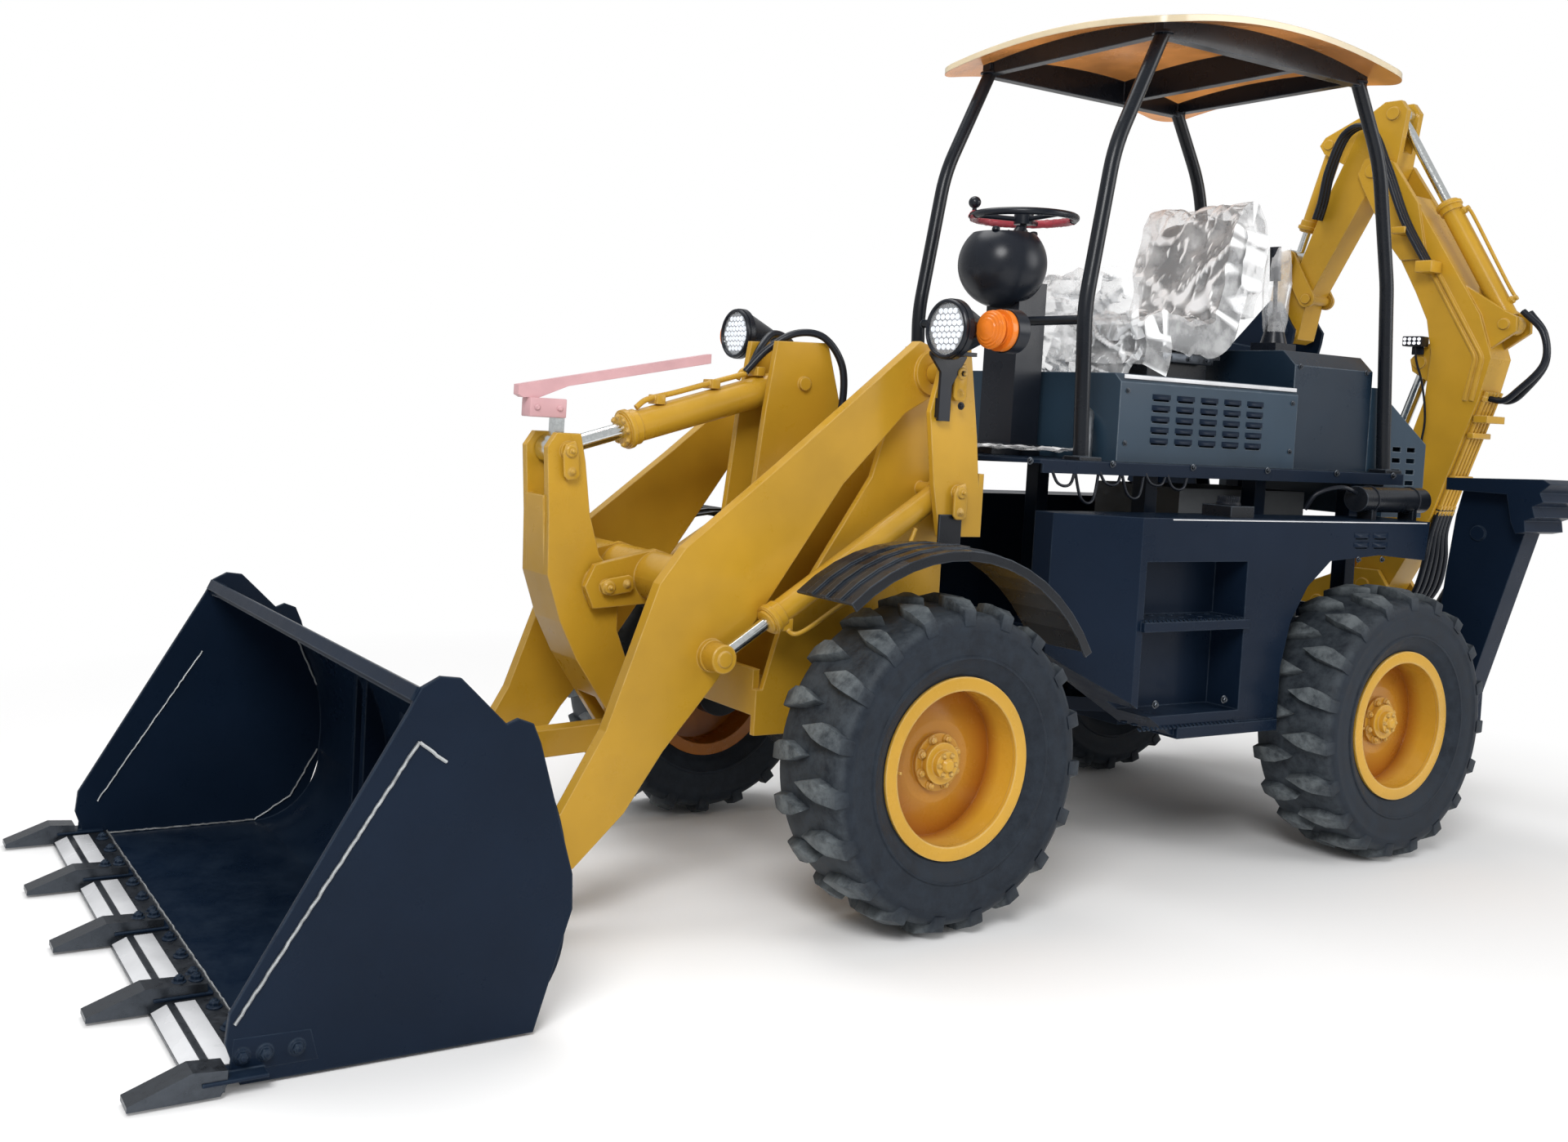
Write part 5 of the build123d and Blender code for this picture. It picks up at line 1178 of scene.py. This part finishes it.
def make_rear_trim():
    lips = bmesh.new()
    for side in (1, -1):
        for column in range(5):
            for row in range(5):
                lip(lips, -1.190 - 0.125 * column, 0.4005, 1.455 + 0.038 * row + 0.006, side, 0.046)
        for x in (-2.010, -2.120):
            for z in (1.120, 1.154):
                lip(lips, x, 0.6405, z + 0.006, side, 0.044)
    piece("louvre_lips", lips, "rear_body", "navy_paint")
    # Pale strips along the top edges of the hood sides and of the tank: painted highlights.
    strips = bmesh.new()
    for side in (1, -1):
        y = side * 0.4005
        plate(strips, [at(-1.000, y, 1.672), at(-1.000, y, 1.686), at(-1.920, y, 1.686), at(-1.920, y, 1.672)][::side], 0.0025, 0.001)
        plate(strips, [at(-1.0, side * 0.6405, 1.2075), at(-1.0, side * 0.6405, 1.2115), at(-2.40, side * 0.6405, 1.2115),
                       at(-2.40, side * 0.6405, 1.2075)][::side], 0.0015, 0)
    piece("painted_highlight_lines", strips, "rear_body", "edge_steel", BRIGHT_STRIP)
    bolts = bmesh.new()
    for side in (1, -1):
        for x in (-0.52, -0.90, -1.30, -1.70, -2.10, -2.45):
            bolt(bolts, at(x, side * 0.4605, 1.378), (0, side, 0), 0.009)
        for x in (-1.995, -2.135):
            bolt(bolts, at(x, side * 0.6405, 1.075), (0, side, 0), 0.008)
        for x in (-0.97, -1.31, -1.95, -2.30):
            bolt(bolts, at(x, side * 0.6405, 0.60), (0, side, 0), 0.010)
        for x in (-1.02, -1.90):
            for z in (1.45, 1.63):
                bolt(bolts, at(x, side * 0.4005, z), (0, side, 0), 0.007)
        for x in (-1.96, -2.36):
            bolt(bolts, at(x, side * 0.3805, 1.77), (0, side, 0), 0.008)
    piece("rear_bolts", bolts, "rear_body", "edge_steel")
    steps = bmesh.new()
    for side in (1, -1):
        for top in (0.874, 0.520):
            for index in range(24):
                x = -1.375 + index * 0.0207
                y = side * 0.656
                plate(steps, [at(x, y, top), at(x + 0.012, y, top), at(x + 0.009, y - side * 0.012, top + 0.007),
                              at(x + 0.003, y - side * 0.012, top + 0.007)][::side], 0.004, 0)
            for index in range(5):
                for row in range(3):
                    x = -1.330 + index * 0.095
                    spot = at(x, side * (0.625 - row * 0.045), top)
                    turned(steps, spot, (0, 0, 1), [(0.013, 0), (0.011, 0.004), (0.008, 0.004)], 14)
    piece("step_grip", steps, "rear_body", "navy_paint")
    fittings = bmesh.new()
    turned(fittings, at(-1.41, 0.53, 1.2555), (0, 0, 1), [(0.041, 0), (0.041, 0.006), (0.036, 0.010)], 36)
    for index in range(28):
        angle = 2 * math.pi * index / 28
        spot = at(-1.41 + 0.0345 * math.cos(angle), 0.53 + 0.0345 * math.sin(angle), 1.262)
        pipe(fittings, [spot, spot + Vector((0, 0, 0.024))], 0.0025, 6, 1)
    for x in (-2.40, -2.15):
        band = []
        for index in range(25):
            angle = 2 * math.pi * index / 24
            band.append(at(x, 0.56 + 0.049 * math.cos(angle), 1.29 + 0.049 * math.sin(angle)))
        pipe(fittings, band, 0.0035, 8, 1)
    pipe(fittings, [at(-2.09, 0.56, 1.31), at(-2.02, 0.54, 1.33), at(-1.95, 0.49, 1.30), at(-1.93, 0.46, 1.24)], 0.008)
    piece("tank_top_fittings", fittings, "rear_body", "black_plastic")
    wires = bmesh.new()
    draw = random.Random(8)
    for index in range(6):
        x = -0.62 - index * 0.11
        low = draw.uniform(0.045, 0.11)
        pipe(wires, [at(x, 0.452, 1.369), at(x - 0.03, 0.462, 1.369 - low), at(x - 0.09, 0.458, 1.369 - low * 1.05),
                     at(x - 0.12, 0.452, 1.369)], 0.005, 8)
    piece("deck_cables", wires, "rear_body", "black_plastic")
    guard = bmesh.new()
    for side in (1, -1):
        for x in (-2.50, -2.745):
            for z in (1.22, 1.55):
                bolt(guard, at(x, side * 0.3955, z), (0, side, 0), 0.009)
    posts = bmesh.new()
    for side in (1, -1):
        for x in (-0.80, -2.46):
            for dx, dy in ((0.036, 0.036), (-0.036, 0.036), (0.036, -0.036), (-0.036, -0.036)):
                spot = at(x + dx, side * 0.412 + dy, 1.3855)
                if abs(side * 0.412 + dy) < 0.455:
                    bolt(posts, spot, (0, 0, 1), 0.008)
        for x, z in ((-1.06, 2.852), (-2.13, 2.852)):
            turned(posts, at(x, side * 0.412, z - 0.004), (0, 0, 1), [(0.036, 0), (0.036, 0.006), (0.03, 0.01)], 28)
    piece("post_bolts", posts, "rear_body", "black_plastic")
    guard.free()


def make_work_lamp():
    bm = bmesh.new()
    box(bm, (-0.1415, 0.0865, 1.9235), (-0.0585, 0.1465, 1.9665), 0.004)
    box(bm, (-0.125, 0.0865, 1.890), (-0.075, 0.0945, 1.9235), 0.002)
    bm.transform(ARM_FRAME)
    piece("work_lamp_housing", bm, "boom", "black_plastic")
    bm = bmesh.new()
    out = arm_at(0, 1, 0) - arm_at(0, 0, 0)
    for row in range(2):
        for column in range(4):
            spot = arm_at(-0.130 + column * 0.020, 0.1467, 1.937 + row * 0.017)
            turned(bm, spot, out, [(0.0075, 0), (0.007, 0.002), (0.004, 0.0006)], 12)
    piece("work_lamp_leds", bm, "boom", "lamp_glass", LED_METAL)
    bm = bmesh.new()
    pipe(bm, [arm_at(-0.10, 0.115, 1.926), arm_at(-0.105, 0.105, 1.86), arm_at(-0.13, 0.092, 1.76), arm_at(-0.15, 0.090, 1.62),
              arm_at(-0.14, 0.090, 1.50)], 0.0045, 8)
    piece("work_lamp_cable", bm, "boom", "black_plastic")


def make_lift_eyes():
    """Painted eyes at the ends of the lift rods."""
    bm = bmesh.new()
    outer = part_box("lift_rods")[1][1]
    for side in (1, -1):
        turned(bm, at(0.590, side * (outer - 0.055), 0.765), (0, side, 0),
               [(0.0425, 0), (0.0425, 0.056), (0.040, 0.0585), (0.024, 0.0585), (0.023, 0.063), (0.010, 0.064)], 32)
    piece("lift_eye_covers", bm, "lift_rods", "yellow_paint")


def make_level_bracket():
    """The wrapped block that carries the long bar over the tilt rod."""
    bm = bmesh.new()
    box(bm, at(0.9485, -0.0295, 1.4345), at(1.0715, 0.0295, 1.4915), 0.004)
    for x in (0.972, 1.048):
        for side in (1, -1):
            turned(bm, at(x, side * 0.0295, 1.463), (0, side, 0), [(0.009, 0), (0.009, 0.004), (0.006, 0.007)], 12)
    piece("level_bracket", bm, "tilt_rod", "wrap_film")


def make_arm_trim():
    bm = bmesh.new()
    for side in (1, -1):
        for s, z, y in ((0.050, 0.880, 0.087), (0.150, 2.700, 0.087)):
            spot = arm_at(s, side * y, z)
            turned(bm, spot, ARM_SIDE * side, [(0.046, 0), (0.046, 0.006), (0.042, 0.010), (0.020, 0.010), (0.018, 0.016)], 32)
            bolt(bm, spot + Vector((0, 0, 0.034)) + ARM_SIDE * side * 0.008, ARM_SIDE * side, 0.007)
    piece("boom_pin_ends", bm, "boom", "yellow_paint")
    bm = bmesh.new()
    for side in (1, -1):
        for s, z, y in ((0.500, 1.990, 0.069), (0.424, 2.144, 0.069)):
            spot = arm_at(s, side * y, z)
            turned(bm, spot, ARM_SIDE * side, [(0.034, 0), (0.034, 0.006), (0.030, 0.009), (0.014, 0.009), (0.013, 0.013)], 28)
    piece("dipper_pin_ends", bm, "dipper", "yellow_paint")


make_camera()
make_light()
make_floor()
MATERIALS = make_materials()
dress_nodes(MATERIALS)
NODES["tall_hood"].data.materials[0] = paint("tall_hood_paint", (0.009, 0.020, 0.036), SLATE_EDGE, (0.05, 0.075, 0.105))
# Pale flat strips: worn bare steel on the bucket's cutting edge, and painted highlight lines on the rear body.
BRIGHT_STRIP = plastic("bright_strip", (0.74, 0.75, 0.77), 0.25)
WELD = steel("weld_bead", (0.50, 0.52, 0.53), 0.45)
LED_METAL = led_metal()
PIPE_METAL = steel("pipe_metal", (0.42, 0.44, 0.46), 0.35)
FILM = clear_film()
WHEEL_WRAP = plastic("wheel_wrap", (0.42, 0.06, 0.08), 0.22)
make_wheels()
make_bucket_trim()
make_keepers()
make_cylinder_trim()
make_hoses()
make_lamps()
make_seat()
make_wheel_film()
make_lever_film()
make_column_trim()
make_rear_trim()
make_work_lamp()
make_arm_trim()
make_level_bracket()
make_lift_eyes()

bpy.context.scene.view_settings.view_transform = "Standard"
